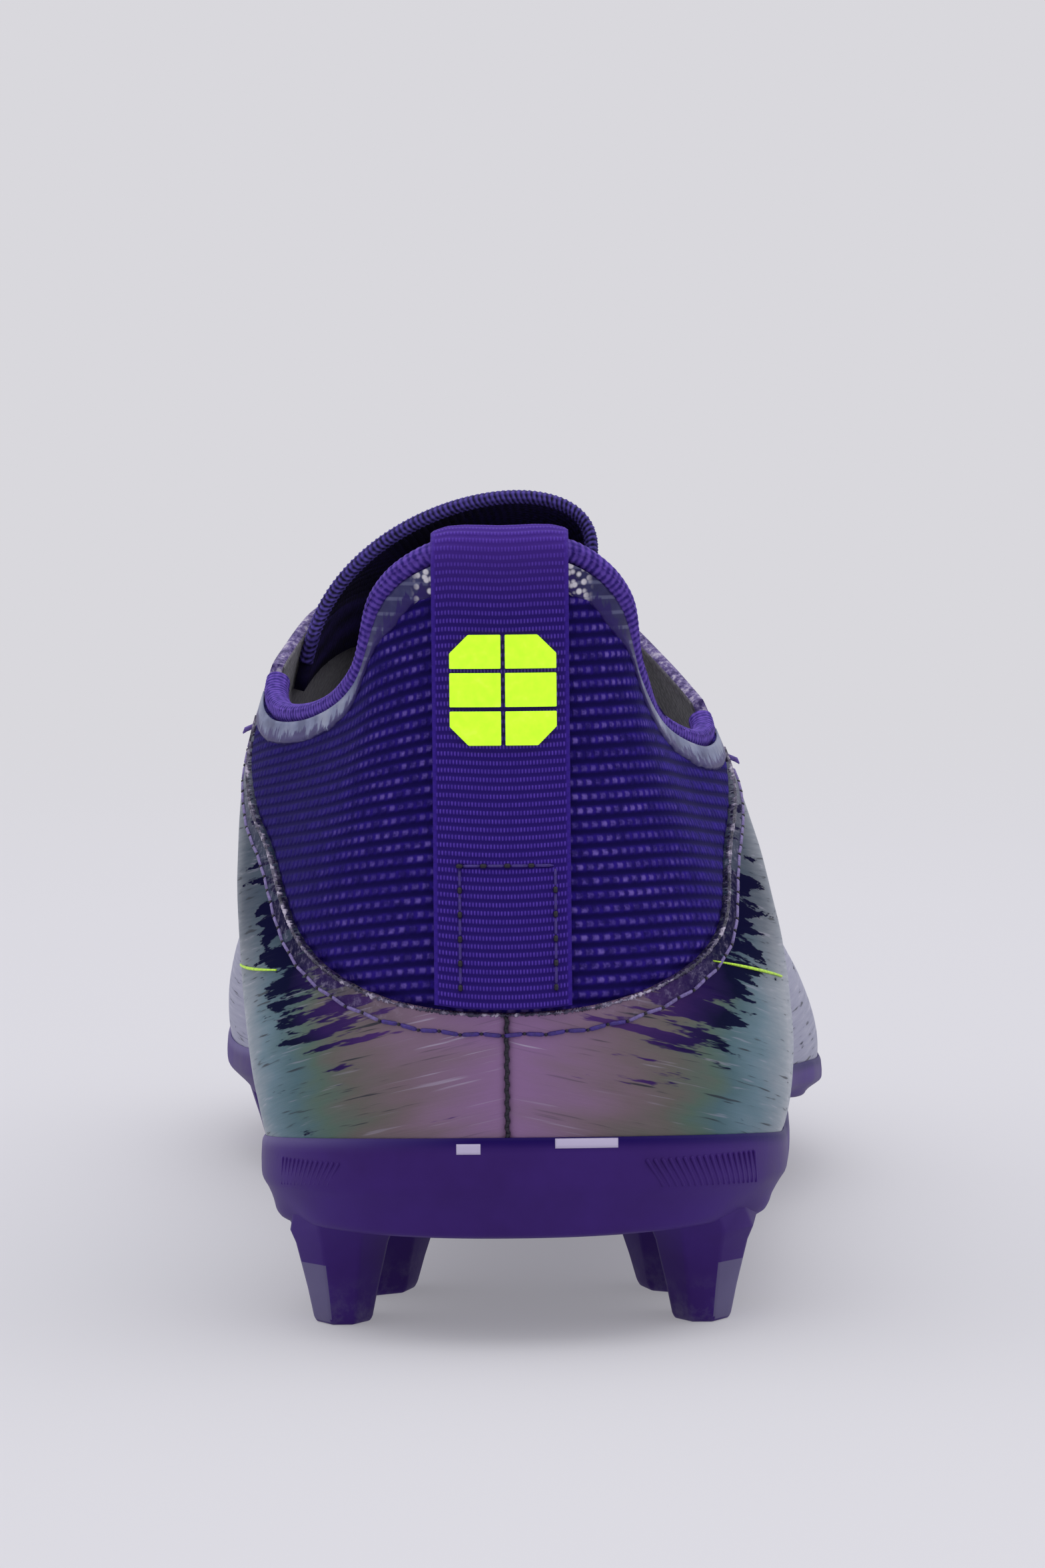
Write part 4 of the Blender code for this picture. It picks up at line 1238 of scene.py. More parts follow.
def spaced(line: Sequence[Vector], pitch: float) -> list[tuple[Vector, Vector]]:
    """Points at an even pitch along a line, each with the line's direction there."""
    runs = run_along(line)
    made = []
    for run in np.arange(pitch / 2, runs[-1], pitch):
        i = min(int(np.searchsorted(runs, run)), len(line) - 1)
        a, b = line[i - 1], line[i]
        made.append((a.lerp(b, (run - runs[i - 1]) / max(runs[i] - runs[i - 1], 1e-9)), (b - a).normalized()))
    return made


@dataclass
class FilmUpper:
    """Vamp and quarters: one hollow wall of film over knit, with its lining, stitches and trims."""

    last: Last
    wall: float = 1.8 * MM
    gap: float = 0.3 * MM
    columns: int = 400
    outer_rows: int = 72
    inner_rows: int = 16
    groove: float = 0.45 * MM

    def loops(self) -> list[float]:
        """Loop values of the columns: a close pair where the edge steps up, and close ones at the heel seam."""
        start, end = self.last.panel_end(-1), self.last.panel_end(1)
        step = self.gap / self.last.length
        pairs = [start - 2.6 * step, start - step, end + step, end + 2.6 * step]
        heel = [self.last.loop_at_girth(k * 0.25 * MM) for k in range(-6, 7)]
        even = [-1.0 + 2.0 * j / self.columns for j in range(self.columns)]
        spare = 0.4 / self.columns
        kept = [
            loop
            for loop in even
            if abs(loop) > 1.5 / self.columns and all(abs(loop - p) > spare for p in (*pairs, heel[0], heel[-1]))
        ]
        kept = [loop for loop in kept if not heel[0] - spare < loop < heel[-1] + spare]
        return sorted(kept + pairs + heel)

    def top(self, loop: float) -> float:
        """How far up its rib the upper reaches."""
        step = self.gap / self.last.length
        beyond = abs(loop) - abs(self.last.panel_end(1 if loop > 0 else -1))
        if beyond < 2 * step:
            return self.last.seam_climb(loop, 1.3 * self.gap)
        return 1.0 + 2.6 * MM / self.last.rise(loop) * max(0.0, 1.0 - beyond / 0.05) ** 2

    def relief(self, point: Vector, girth: float) -> float:
        """How far the film sinks or swells by listed troughs: the heel seam and the flex lines of the vamp."""
        depth = self.groove * math.exp(-((girth / (0.55 * MM)) ** 2))
        y = point.y / self.last.length
        vamp = smooth(point.z, 26 * MM, 44 * MM)
        for place, wide, deep in ((0.655, 0.011, 0.55), (0.700, 0.013, 0.70), (0.742, 0.010, 0.45)):
            bow = y + 0.35 * abs(point.x / self.last.length)
            depth += deep * MM * vamp * math.exp(-(((bow - place) / wide) ** 2))
        depth += 0.12 * MM * noise.noise(Vector((girth * 90, point.z * 160, 3.0)))
        return depth

    def build(self) -> Piece:
        """The shell: outer skin, rounded rim, lining."""
        last, loops = self.last, self.loops()
        loops = loops + [loops[0] + 2.0]
        tops = [self.top(loop if loop < 1 else loop - 2.0) for loop in loops]
        girths = [last.girth(loop) if loop < 1 else last.girths[-1] for loop in loops]
        girths[0] = last.girths[0]
        rises = [last.rise(loop) for loop in loops]
        rows, flow, below, collar = [], [], [], []
        plan: list[tuple[float, float, float]] = []
        for i in range(self.outer_rows + 1):
            plan.append((i / self.outer_rows, 0.0, 0.0))
        for k in range(1, 4):
            a = math.pi * k / 4
            plan.append((1.0, self.wall / 2 * (1 - math.cos(a)), math.sin(a) * 0.35 * MM))
        for i in range(self.inner_rows + 1):
            plan.append((1.0 - i / self.inner_rows, self.wall, 0.0))
        for share, depth, lift in plan:
            row = []
            for loop, top, girth, rise in zip(loops, tops, girths, rises):
                climb = top * share
                point = last.under(loop, climb, depth)
                if lift:
                    point += last.upward(loop, climb) * lift
                if depth < self.wall / 2:
                    fade = 1.0 - depth / (self.wall / 2)
                    point -= last.normal(loop, climb) * self.relief(point, girth) * fade
                row.append(point)
                flow.append((girth / MM, point.z / MM))
                below.append((top - climb) * rise / MM)
                collar.append(1.0 if abs(last.panel_end(1)) < abs(loop) < 0.42 else 0.0)
            rows.append(row)
        rows.append([point.copy() for point in rows[0]])
        flow += flow[: len(loops)]
        below += below[: len(loops)]
        collar += collar[: len(loops)]
        piece = carried("film_upper", rows, np.array(flow))
        mark(piece, "below_edge", below)
        mark(piece, "collar", collar)
        add_lining(piece, (len(loops) - 1) * (self.outer_rows + 3))
        weld(piece)
        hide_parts("upper")
        return hand_over(piece, "film_upper", FILM, LINING)

    def seam_line(self, clearance: float, lift: float) -> list[Vector]:
        """Points along the heel panel's seam, this far below it and this far above the film."""
        last = self.last
        return [last.under(loop, last.seam_climb(loop, clearance), -lift) for loop in last.panel_loops(700)]

    def cut_edge(self) -> Piece:
        """The film's pale ragged cut edge along the heel panel."""
        last, steps = self.last, 900
        rng = random.Random(4)
        jag = [rng.uniform(-1, 1) for _ in range(steps + 1)]
        rows: list[list[Vector]] = [[], [], [], []]
        for i, loop in enumerate(last.panel_loops(steps, 0.985)):
            fade = min(1.0, 30 * (i / steps) * (1 - i / steps) + 0.15)
            wide = (0.26 + 0.16 * jag[i] + 0.12 * noise.noise(Vector((i * 0.05, 0, 0)))) * MM * fade
            top = last.seam_climb(loop, 0.18 * MM - 0.14 * MM * jag[i - 1])
            low = last.seam_climb(loop, 0.25 * MM + max(wide, 0.15 * MM))
            rows[0].append(last.under(loop, low, 0.02 * MM))
            rows[1].append(last.under(loop, low + (top - low) * 0.25, -0.13 * MM))
            rows[2].append(last.under(loop, low + (top - low) * 0.9, -0.15 * MM))
            rows[3].append(last.under(loop, top, 0.55 * MM))
        piece = carried("film_cut_edge", rows)
        thicken(piece, 0.12 * MM)
        return hand_over(piece, "film_upper", FILM_EDGE)

    def seam_stitches(self) -> Piece:
        """The row of stitches that follows the seam on the film."""
        pitch = 2.75 * MM
        places = {True: [], False: []}
        holes = []
        for k, (point, along) in enumerate(spaced(self.seam_line(2.6 * MM, 0.06 * MM), pitch)):
            out = self.outward_at(point)
            along = (along + out.cross(along) * (0.09 if k % 2 else -0.09)).normalized()
            places[abs(point.x) < 16 * MM].append((point, along, out))
            holes.append((point - along * pitch / 2 + out * 0.05 * MM, along, out))
        ends = [self.seam_line(2.2 * MM, 0.3 * MM)[k] for k in (0, -1)]
        loose = [(end, Vector((math.copysign(1.0, end.x), 0.3, -0.45)), Vector((0.2, -0.5, 1))) for end in ends]
        StitchRow("seam_thread_ends", ROLL_THREAD, 3.2 * MM, 0.34 * MM).sew(loose)
        StitchRow("seam_stitch_holes", BLACK_STITCH, 0.45 * MM, 0.2 * MM).sew(holes)
        StitchRow("seam_stitches_back", DARK_STITCH, pitch, 0.28 * MM).sew(places[True])
        return StitchRow("seam_stitches", STITCH, 1.06 * pitch, 0.24 * MM).sew(places[False])

    def outward_at(self, point: Vector) -> Vector:
        """Way out of the heel near a point of its surface."""
        centre = Vector((0.0, 40 * MM, point.z))
        if point.y > 40 * MM:
            return Vector((math.copysign(1.0, point.x), -0.1, 0.15)).normalized()
        return (point - centre).normalized()

    def heel_seam(self) -> Piece:
        """The zigzag that closes the back seam."""
        last = self.last
        top = last.seam_climb(0.0, 0.6 * MM)
        line = [last.under(0.0, top * (0.03 + 0.97 * i / 80), 0.12 * MM) for i in range(81)]
        places = []
        for k, (point, along) in enumerate(spaced(line, 0.8 * MM)):
            out = Vector((0, -1, 0.1)).normalized()
            side = out.cross(along).normalized()
            slant = along * 0.8 + side * (0.42 if k % 2 else -0.42)
            places.append((point, slant, out))
            places.append((point - out * 0.1 * MM, along, out))
        return StitchRow("heel_seam_zigzag", BLACK_STITCH, 1.2 * MM, 0.24 * MM).sew(places)

    def pinstripe(self, name: str, side: int, path: Sequence[tuple[float, float, float]]) -> Piece:
        """A thin neon trim line pressed on the film.

        Args:
            name: The piece's name.
            side: -1 for the inner side, 1 for the outer.
            path: Girth from the heel seam, height and width along the line, in millimetres.

        Returns:
            The trim.
        """
        last, steps = self.last, 80
        track = Track([p[0] for p in path], [p[1:] for p in path])
        rows: list[list[Vector]] = [[], [], [], []]
        for i in range(steps + 1):
            girth = path[0][0] + (path[-1][0] - path[0][0]) * i / steps
            height, width = track.at(girth)
            loop = last.loop_at_girth(side * girth * MM)
            order = (-0.5, -0.3, 0.3, 0.5)
            for row, share in zip(rows, order):
                z = (height + width * share) * MM
                climb = halved(0.0, 1.0, 24, lambda at: last.surface(loop, at).z < z)
                row.append(last.under(loop, climb, -0.02 * MM if abs(share) == 0.5 else -0.22 * MM))
        if side < 0:
            rows = [row[::-1] for row in rows]
        piece = carried(name, rows)
        thicken(piece, 0.15 * MM)
        return hand_over(piece, "film_upper", NEON_LINE)


@dataclass
class HeelPanel:
    """Knit panel at the back of the heel, with the film strip along its collar edge."""

    last: Last
    wall: float = 3.0 * MM
    recess: float = 0.4 * MM
    columns: int = 300
    outer_rows: int = 170
    inner_rows: int = 14
    course: float = 1.8
    rib: float = 0.2 * MM

    def course_height(self, point: Vector, girth: float) -> float:
        """Place across the knit's courses, in millimetres: they fall away towards the inner side and at both ends."""
        s = girth / MM
        steep = 0.15 + 0.12 * smooth(point.z / MM, 60, 85)
        fall = steep * self.ramp(-s - 9.0, 5.0) - 0.03 * self.ramp(s - 9.0, 4.0) + 0.15 * self.ramp(s - 26.0, 8.0)
        return point.z / MM + fall

    @staticmethod
    def ramp(run: float, soft: float) -> float:
        """A line that climbs one for one from 0, with its corner rounded off over this length."""
        return (run + math.hypot(run, soft)) / 2

    def build(self) -> Piece:
        """The panel as a closed wall with raised courses."""
        last = self.last
        loops = last.panel_loops(self.columns)
        girths = [last.girth(loop) for loop in loops]
        lows = [last.seam_climb(loop) for loop in loops]
        rises = [last.rise(loop) for loop in loops]
        rows, flow = [], []
        plan = [(i / self.outer_rows, 0.0) for i in range(self.outer_rows + 1)]
        plan += [(1.0, self.wall * 0.5)]
        plan += [(1.0 - i / self.inner_rows, self.wall) for i in range(self.inner_rows + 1)]
        for share, depth in plan:
            row = []
            for loop, low, girth, rise in zip(loops, lows, girths, rises):
                # The knit runs on a little under the film, and up into the roll.
                under_film = 1.0 * MM / rise
                climb = low - under_film * (1 - share) + (1 - low) * share
                point = last.under(loop, climb, self.recess + depth)
                across = self.course_height(point, girth)
                if depth == 0.0:
                    fade = 1.0 - 0.75 * smooth(abs(girth), 12 * MM, 42 * MM)
                    crest = 0.5 - 0.5 * math.cos(2 * math.pi * across / self.course)
                    sink = -self.rib * crest * fade
                    edge = (climb - low) * rise
                    sink += 0.55 * MM * (1.0 - smooth(edge, 0.1 * MM, 1.4 * MM))
                    point -= last.normal(loop, climb) * sink
                row.append(point)
                flow.append((girth / MM, across))
            rows.append(row)
        rows.append([point.copy() for point in rows[0]])
        flow += flow[: len(loops)]
        piece = carried("heel_knit_panel", rows, np.array(flow))
        add_lining(piece, self.columns * (self.outer_rows + 2))
        weld(piece)
        close_ends(piece)
        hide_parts("heel_panel")
        return hand_over(piece, "heel_knit", KNIT, LINING)

    def film_strip(self) -> Piece:
        """The see-through film pressed along the collar edge."""
        last, steps = self.last, 420
        rows: list[list[Vector]] = [[] for _ in range(9)]
        flow: list[list[tuple[float, float]]] = [[] for _ in range(9)]
        down = [1 - k / 8 for k in range(9) for _ in range(steps + 1)]
        for loop in last.panel_loops(steps, 0.97):
            girth, rise = last.girth(loop), last.rise(loop)
            arc = abs(girth) / MM
            wide = (2.3 + 1.9 * math.exp(-(((arc - 10.5) / 3.0) ** 2)) + 1.1 * smooth(arc, 27, 34)) * MM
            # It is as wide down the legs, where the collar's edge runs steeply.
            wide += 3.0 * MM * math.exp(-(((arc - 18.5) / 5.5) ** 2))
            wide += 0.2 * MM * noise.noise(Vector((girth * 700, 0, 1)))
            wide = min(wide, (1.0 - last.seam_climb(loop)) * rise * 0.7)
            for k in range(9):
                climb = 1.0 - wide * (1 - k / 8) / rise
                lift = -0.05 * MM if k == 0 else 0.36 * MM
                point = last.under(loop, climb, self.recess - lift)
                rows[k].append(point)
                flow[k].append((girth / MM, point.z / MM))
        piece = carried("collar_film_strip", rows, np.array(flow))
        mark(piece, "down", down)
        thicken(piece, 0.25 * MM)
        return hand_over(piece, "film_upper", COLLAR_FILM)


@dataclass
class CollarRoll:
    """Rolled knit binding over the heel panel's top edge."""

    last: Last
    half_width: float = 1.65 * MM
    proud: float = 0.3 * MM
    proud_side: float = 0.5 * MM
    half_height: float = 1.25 * MM
    recess: float = 0.4 * MM
    wall: float = 3.0 * MM
    gap: float = 0.3 * MM
    columns: int = 700
    sides: int = 22
    pitch: float = 0.9

    def centre(self, loop: float) -> Vector:
        """Middle of the roll."""
        arc = abs(self.last.girth(loop)) / MM
        proud = self.proud + self.proud_side * smooth(arc, 11, 17) * (1.0 - smooth(arc, 32, 44))
        middle = self.last.under(loop, 1.0, self.recess + self.wall / 2 - proud)
        return middle + self.last.off_edge(loop) * (self.half_height + self.gap)

    def build(self) -> Piece:
        """The roll: a tube with fine slanting ribs."""
        last = self.last
        rows, flow, crests = [], [], []
        run, before = 0.0, None
        for i, loop in enumerate(last.panel_loops(self.columns)):
            centre, out, up = self.centre(loop), last.normal(loop, 1.0), last.off_edge(loop)
            run += (centre - before).length / MM if before else 0.0
            before = centre
            end_fade = smooth(min(i, self.columns - i), -1, 5)
            row = []
            for k in range(self.sides + 1):
                a = 2 * math.pi * k / self.sides
                crest = 0.5 + 0.5 * math.sin(2 * math.pi * (run / self.pitch + 0.9 * k / self.sides))
                swell = (0.96 + 0.05 * crest) * (0.25 + 0.75 * end_fade)
                down = 1.35 if math.sin(a) < 0 else 1.0
                offset = out * math.cos(a) * self.half_width + up * math.sin(a) * self.half_height * down
                row.append(centre + offset * swell)
                flow.append((run, 5.4 * k / self.sides))
                crests.append(crest)
            rows.append(row)
        piece = carried("collar_roll_knit", rows, np.array(flow))
        mark(piece, "crest", crests)
        weld(piece)
        close_ends(piece)
        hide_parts("collar_roll")
        return hand_over(piece, "collar_knit", ROLL_KNIT)


@dataclass
class HeelStrap:
    """Webbing pull strap, sewn up the back of the heel and folded over the collar, with its plain neon block."""

    last: Last
    roll: CollarRoll
    width: float = 17.7 * MM
    centre: float = -0.4 * MM
    thickness: float = 0.95 * MM
    ease: float = 0.45 * MM
    fold_drop: float = 12 * MM
    columns: int = 37
    rows: int = 560

    def loop_for(self, x: float, point: Callable[[float], Vector]) -> float:
        """Loop value at the back of the heel for which a point that depends on it has this x."""
        return halved(-0.2, 0.2, 22, lambda at: point(at).x < x)

    def path(self, x: float, lift: float) -> list[Vector]:
        """One lengthwise line of the strap: up the heel, over the roll, down inside."""
        last, roll = self.last, self.roll
        edge = self.loop_for(x, roll.centre)
        low = last.seam_climb(self.loop_for(x, lambda loop: last.surface(loop, 0.4))) + 0.3 * MM / last.rise(0.0)
        high = 1.0 - roll.half_height / last.rise(0.0)
        depth = roll.recess - self.ease - lift
        made = []
        for i in range(10):
            climb = low + (high - low) * i / 9
            made.append(last.under(self.loop_for(x, lambda loop: last.under(loop, climb, depth)), climb, depth))
        centre, across, up = roll.centre(edge), last.normal(edge, 1.0), last.off_edge(edge)
        wide, tall = roll.half_width + self.ease + lift, roll.half_height + self.ease + lift
        for i in range(9):
            a = math.pi * i / 8
            made.append(centre + across * wide * math.cos(a) + up * tall * math.sin(a))
        inner = roll.recess + roll.wall + 0.3 * MM + lift
        for drop in (0.35, 0.7, 1.0):
            climb = 1.0 - drop * self.fold_drop / last.rise(0.0)
            made.append(last.under(self.loop_for(x, lambda loop: last.under(loop, climb, inner)), climb, inner))
        return [Vector((x, point.y, point.z)) for point in made]

    def guide(self) -> list[Track]:
        """Nine lengthwise lines as smooth tracks over their run in millimetres."""
        lines = []
        for j in range(9):
            points = self.path(self.centre + self.width * (j / 8 - 0.5), self.thickness)
            runs = run_along(points, MM)
            lines.append(Track(runs.tolist(), [tuple(point) for point in points]))
        return lines

    def build(self) -> Piece:
        """The webbing with its rows in the mesh."""
        lines = self.guide()
        self.lines = lines
        total = lines[4].keys[-1]
        grid = np.zeros((self.rows + 1, 9, 3))
        for i in range(self.rows + 1):
            for j, line in enumerate(lines):
                grid[i, j] = line.at(line.keys[-1] * i / self.rows)
        shares = np.linspace(0, 8, self.columns + 1)
        low = np.clip(shares.astype(int), 0, 7)
        part = (shares - low)[None, :, None]
        fine = grid[:, low] * (1 - part) + grid[:, low + 1] * part
        along = np.gradient(fine, axis=0)
        across = np.gradient(fine, axis=1)
        out = np.cross(across, along)
        out /= np.linalg.norm(out, axis=2, keepdims=True)
        run = total * np.arange(self.rows + 1)[:, None] / self.rows
        side = np.linspace(-0.5, 0.5, self.columns + 1)[None, :] * self.width / MM
        crest = 0.5 - 0.5 * np.cos(2 * np.pi * run / TAPE.row)
        inside = np.clip((TAPE.half_width - 0.4 - np.abs(side)) / 0.4, 0, 1)
        edge = np.clip((TAPE.half_width - np.abs(side)) / 0.5, 0, 1)
        lift = (0.13 * crest * inside + 0.10 * (1 - inside)) * MM - 0.2 * MM * (1 - edge)
        fine = fine + out * lift[:, :, None]
        rows = [[Vector(point) for point in row] for row in fine]
        flow = np.stack(np.broadcast_arrays(side, run), axis=2)
        piece = carried("webbing_strap", rows, flow)
        thicken(piece, 0.95 * self.thickness)
        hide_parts("heel_strap")
        return hand_over(piece, "webbing", TAPE)

    def on_strap(self, x: float, z: float, lift: float) -> Vector:
        """Point over the strap's outer face at this x and height, in the last's frame."""
        share = min(max((x - self.centre) / self.width + 0.5, 0.0), 1.0) * 8
        j = min(int(share), 7)
        points = []
        for line in (self.lines[j], self.lines[j + 1]):
            points.append(Vector(line.at(halved(0.0, line.keys[9] + 0.5, 22, lambda at: line.at(at)[2] < z))))
        point = points[0].lerp(points[1], share - j)
        return point + Vector((x * 6, -1.0, 0.05)).normalized() * lift

    def block(self) -> Piece:
        """The plain neon block: a chamfered rectangle cut into six tiles by plain slots."""
        wide, tall, slot, corner = 13.7 * MM, 14.2 * MM, 0.55 * MM, 2.4 * MM
        middle = Vector((-0.1 * MM, 0, 84.9 * MM))
        tiles = []
        for row in range(3):
            for side in (-1, 1):
                across = (wide - slot) / 2
                high = (tall - 2 * slot) / 3
                centre_x = side * (across + slot) / 2
                centre_z = (row - 1) * (high + slot)
                tiles.append(self.tile(centre_x, centre_z, across, high, corner if row != 1 else 0.0, side, row - 1))
        piece = join("neon_block", tiles)
        for vertex in piece.data.vertices:
            x, lift, z = vertex.co.x + middle.x, -vertex.co.y, vertex.co.z + middle.z
            vertex.co = self.on_strap(x, z, lift + 0.10 * MM) + SEAT
        face_out(piece)
        return hand_over(piece, "webbing", PRINT)

    def tile(self, x: float, z: float, wide: float, tall: float, corner: float, side: int, end: int) -> Piece:
        """One tile of the block, flat, facing -Y.

        Args:
            x: Its middle across.
            z: Its middle up.
            wide: Its width.
            tall: Its height.
            corner: Size of the chamfer cut off its outer corner, or 0.
            side: -1 on the left, 1 on the right.
            end: -1 at the bottom, 1 at the top.

        Returns:
            The tile.
        """
        made = box((x, -0.2 * MM, z), (wide, 0.55 * MM, tall))
        with editing(made):
            if corner:
                out = Vector((side, 0, end)).normalized()
                tip = Vector((x + side * wide / 2, 0, z + end * tall / 2))
                cut = tip - out * corner / math.sqrt(2)
                bpy.ops.mesh.bisect(plane_co=cut, plane_no=out, use_fill=True, clear_outer=True)
                bpy.ops.mesh.select_all(action="SELECT")
            bpy.ops.mesh.bevel(offset=0.12 * MM, segments=2, affect="EDGES")
            bpy.ops.mesh.select_all(action="SELECT")
            for k in range(1, 8):
                bpy.ops.mesh.bisect(plane_co=(x + wide * (k / 8 - 0.5), 0, 0), plane_no=(1, 0, 0))
                bpy.ops.mesh.select_all(action="SELECT")
        made.data.shade_smooth()
        activate(made)
        bpy.ops.object.shade_smooth_by_angle(angle=math.radians(35))
        return made

    def box_stitches(self) -> Piece:
        """The box of stitches that fixes the strap's lower half."""
        left, right, high, low = -5.85 * MM, 6.4 * MM, 62.5 * MM, 46.5 * MM
        places = []
        pitch = 3.1 * MM
        out = Vector((0, -1, 0.05))
        for k in range(4):
            x = left + (right - left) * (k + 0.5) / 4
            places.append((self.on_strap(x, high, 0.16 * MM), Vector((1, 0, 0)), out))
        count = int((high - low) / pitch)
        for x in (left, right):
            for k in range(count):
                z = high - pitch * (k + 0.5)
                a, b = self.on_strap(x, z - 0.5 * MM, 0.12 * MM), self.on_strap(x, z + 0.5 * MM, 0.12 * MM)
                places.append(((a + b) / 2, b - a, out))
        holes = [(point - along.normalized() * pitch / 2 + out * 0.08 * MM, along, out) for point, along, out in places]
        StitchRow("strap_stitch_holes", BLACK_STITCH, 0.95 * MM, 0.3 * MM, "webbing").sew(holes)
        return StitchRow("strap_box_stitches", DARK_STITCH, 2.7 * MM, 0.2 * MM, "webbing").sew(places)


@dataclass
class Tongue:
    """Ribbed knit tongue with an overlocked top edge."""

    last: Last
    tuck: float = 7 * MM
    ease: float = 1.0 * MM
    upper_wall: float = 1.8 * MM
    gap: float = 0.3 * MM
    rows: int = 60
    arch_steps: int = 260
    rib_pitch: float = 1.25
    rib: float = 0.22 * MM
    slant: float = 0.055
    slant_end: float = 0.66
    shoulders: tuple[float, float] = (-2.0 * MM, 3.6 * MM)
    skin: float = 1.5 * MM

    def rung(self, station: float) -> list[Vector]:
        """One rung: tucked under the inner quarter, arched over the instep, tucked under the outer one."""
        last = self.last
        track = Track([rung.station for rung in RUNGS], [rung[1:] for rung in RUNGS])
        sides = []
        share = max(0.0, (self.slant_end - station) / (self.slant_end - RUNGS[0].station))
        for loop in (-station, station + self.slant * share * share * (3 - 2 * share)):
            low, high = 1.0 - self.tuck / last.rise(loop), 1.0 + self.ease / last.rise(loop)
            climbs = [low + (high - low) * i / 4 for i in range(5)]
            sides.append([last.under(loop, climb, self.upper_wall + self.gap) for climb in climbs])
        start, end = sides[0][-1], sides[1][-1]
        crest_x, crest_y, crest_z = track.at(station)
        crest = Vector((crest_x * last.ball, crest_y * last.length, crest_z * last.tab))
        handle = (crest - (start + end) / 2) / 0.75
        left, right = self.shoulders[0] * share, self.shoulders[1] * share
        arch = (start, start + handle + Vector((left, 0, 0)), end + handle + Vector((right, 0, 0)), end)
        middle = [bezier(arch, i / self.arch_steps) for i in range(1, self.arch_steps)]
        return sides[0] + middle + sides[1][::-1]

    def build(self) -> Piece:
        """The tongue's wall, with its ribs in the mesh."""
        first = RUNGS[0].station + 0.0008
        stations = [first + (0.992 - first) * (i / self.rows) ** 1.15 for i in range(self.rows + 1)]
        rungs = [self.rung(station) for station in stations]
        grid = np.array([[tuple(point) for point in rung] for rung in rungs])
        along, across = np.gradient(grid, axis=0), np.gradient(grid, axis=1)
        out = np.cross(across, along)
        out /= np.maximum(np.linalg.norm(out, axis=2, keepdims=True), 1e-12)
        if out[5, grid.shape[1] // 2, 2] < 0:
            out = -out
        steps = np.linalg.norm(np.diff(grid, axis=1), axis=2)
        run = np.concatenate([np.zeros((len(grid), 1)), np.cumsum(steps, axis=1)], axis=1) / MM
        run -= run[:, -1:] / 2
        crest = 0.5 + 0.5 * np.cos(2 * np.pi * run / self.rib_pitch)
        tucked = np.minimum(np.arange(grid.shape[1]), np.arange(grid.shape[1])[::-1])
        free = np.clip((tucked - 5) / 6, 0, 1)[None, :]
        shown = np.clip(np.arange(len(grid)) / 2, 0, 1)[:, None]
        grid = grid + out * (crest * free * shown * self.rib)[:, :, None]
        centre_line = grid[:, grid.shape[1] // 2]
        reach = np.concatenate([[0.0], np.cumsum(np.linalg.norm(np.diff(centre_line, axis=0), axis=1))]) / MM
        flow = np.stack([run, np.broadcast_to(reach[:, None], run.shape)], axis=2)
        rows = [[Vector(point) for point in row] for row in grid]
        piece = carried("tongue_rib_knit", rows, flow)
        mark(piece, "crest", crest)
        if piece.data.polygons[len(piece.data.polygons) // 2].normal.z < 0:
            with editing(piece):
                bpy.ops.mesh.flip_normals()
        thicken(piece, self.skin)
        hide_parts("tongue")
        self.top_edge = rungs[0]
        return hand_over(piece, "rib_knit", TONGUE_KNIT)

    def overlock(self) -> Piece:
        """Overlocked yarn that wraps the tongue's top edge: slanting wraps side by side."""
        edge = self.top_edge[2:-2]
        second = self.rung(RUNGS[0].station + 0.012)[2:-2]
        runs = run_along(edge, MM)
        total, sides, pitch = float(runs[-1]), 12, 0.8
        count = int(total / pitch * 6)
        rows, flow, crests = [], [], []
        out = Vector((0.0, 0.0, 1.0))
        for i in range(count + 1):
            run = total * i / count
            k = min(int(np.searchsorted(runs, run, side="right")) - 1, len(edge) - 2)
            share = (run - runs[k]) / max(runs[k + 1] - runs[k], 1e-9)
            point = edge[k].lerp(edge[k + 1], share)
            inward = (second[k].lerp(second[k + 1], share) - point).normalized()
            along = (edge[k + 1] - edge[k]).normalized()
            fresh = inward.cross(along).normalized()
            out = fresh if i == 0 and fresh.x < 0 or i > 0 and fresh.dot(out) > 0 else -fresh
            centre = point - out * self.skin * 0.5 + inward * 0.3 * MM
            row = []
            for j in range(sides + 1):
                a = 2 * math.pi * j / sides
                crest = 0.5 + 0.5 * math.sin(2 * math.pi * (run / pitch + 0.8 * math.sin(a)))
                swell = 0.84 + 0.22 * crest
                row.append(centre + (out * math.cos(a) * 1.0 * MM - inward * math.sin(a) * 0.75 * MM) * swell)
                flow.append((run, 6.0 * j / sides))
                crests.append(crest)
            rows.append(row)
        piece = carried("tongue_overlock", rows, np.array(flow))
        mark(piece, "crest", crests)
        weld(piece)
        close_ends(piece)
        face_out(piece)
        return hand_over(piece, "rib_knit", OVERLOCK)


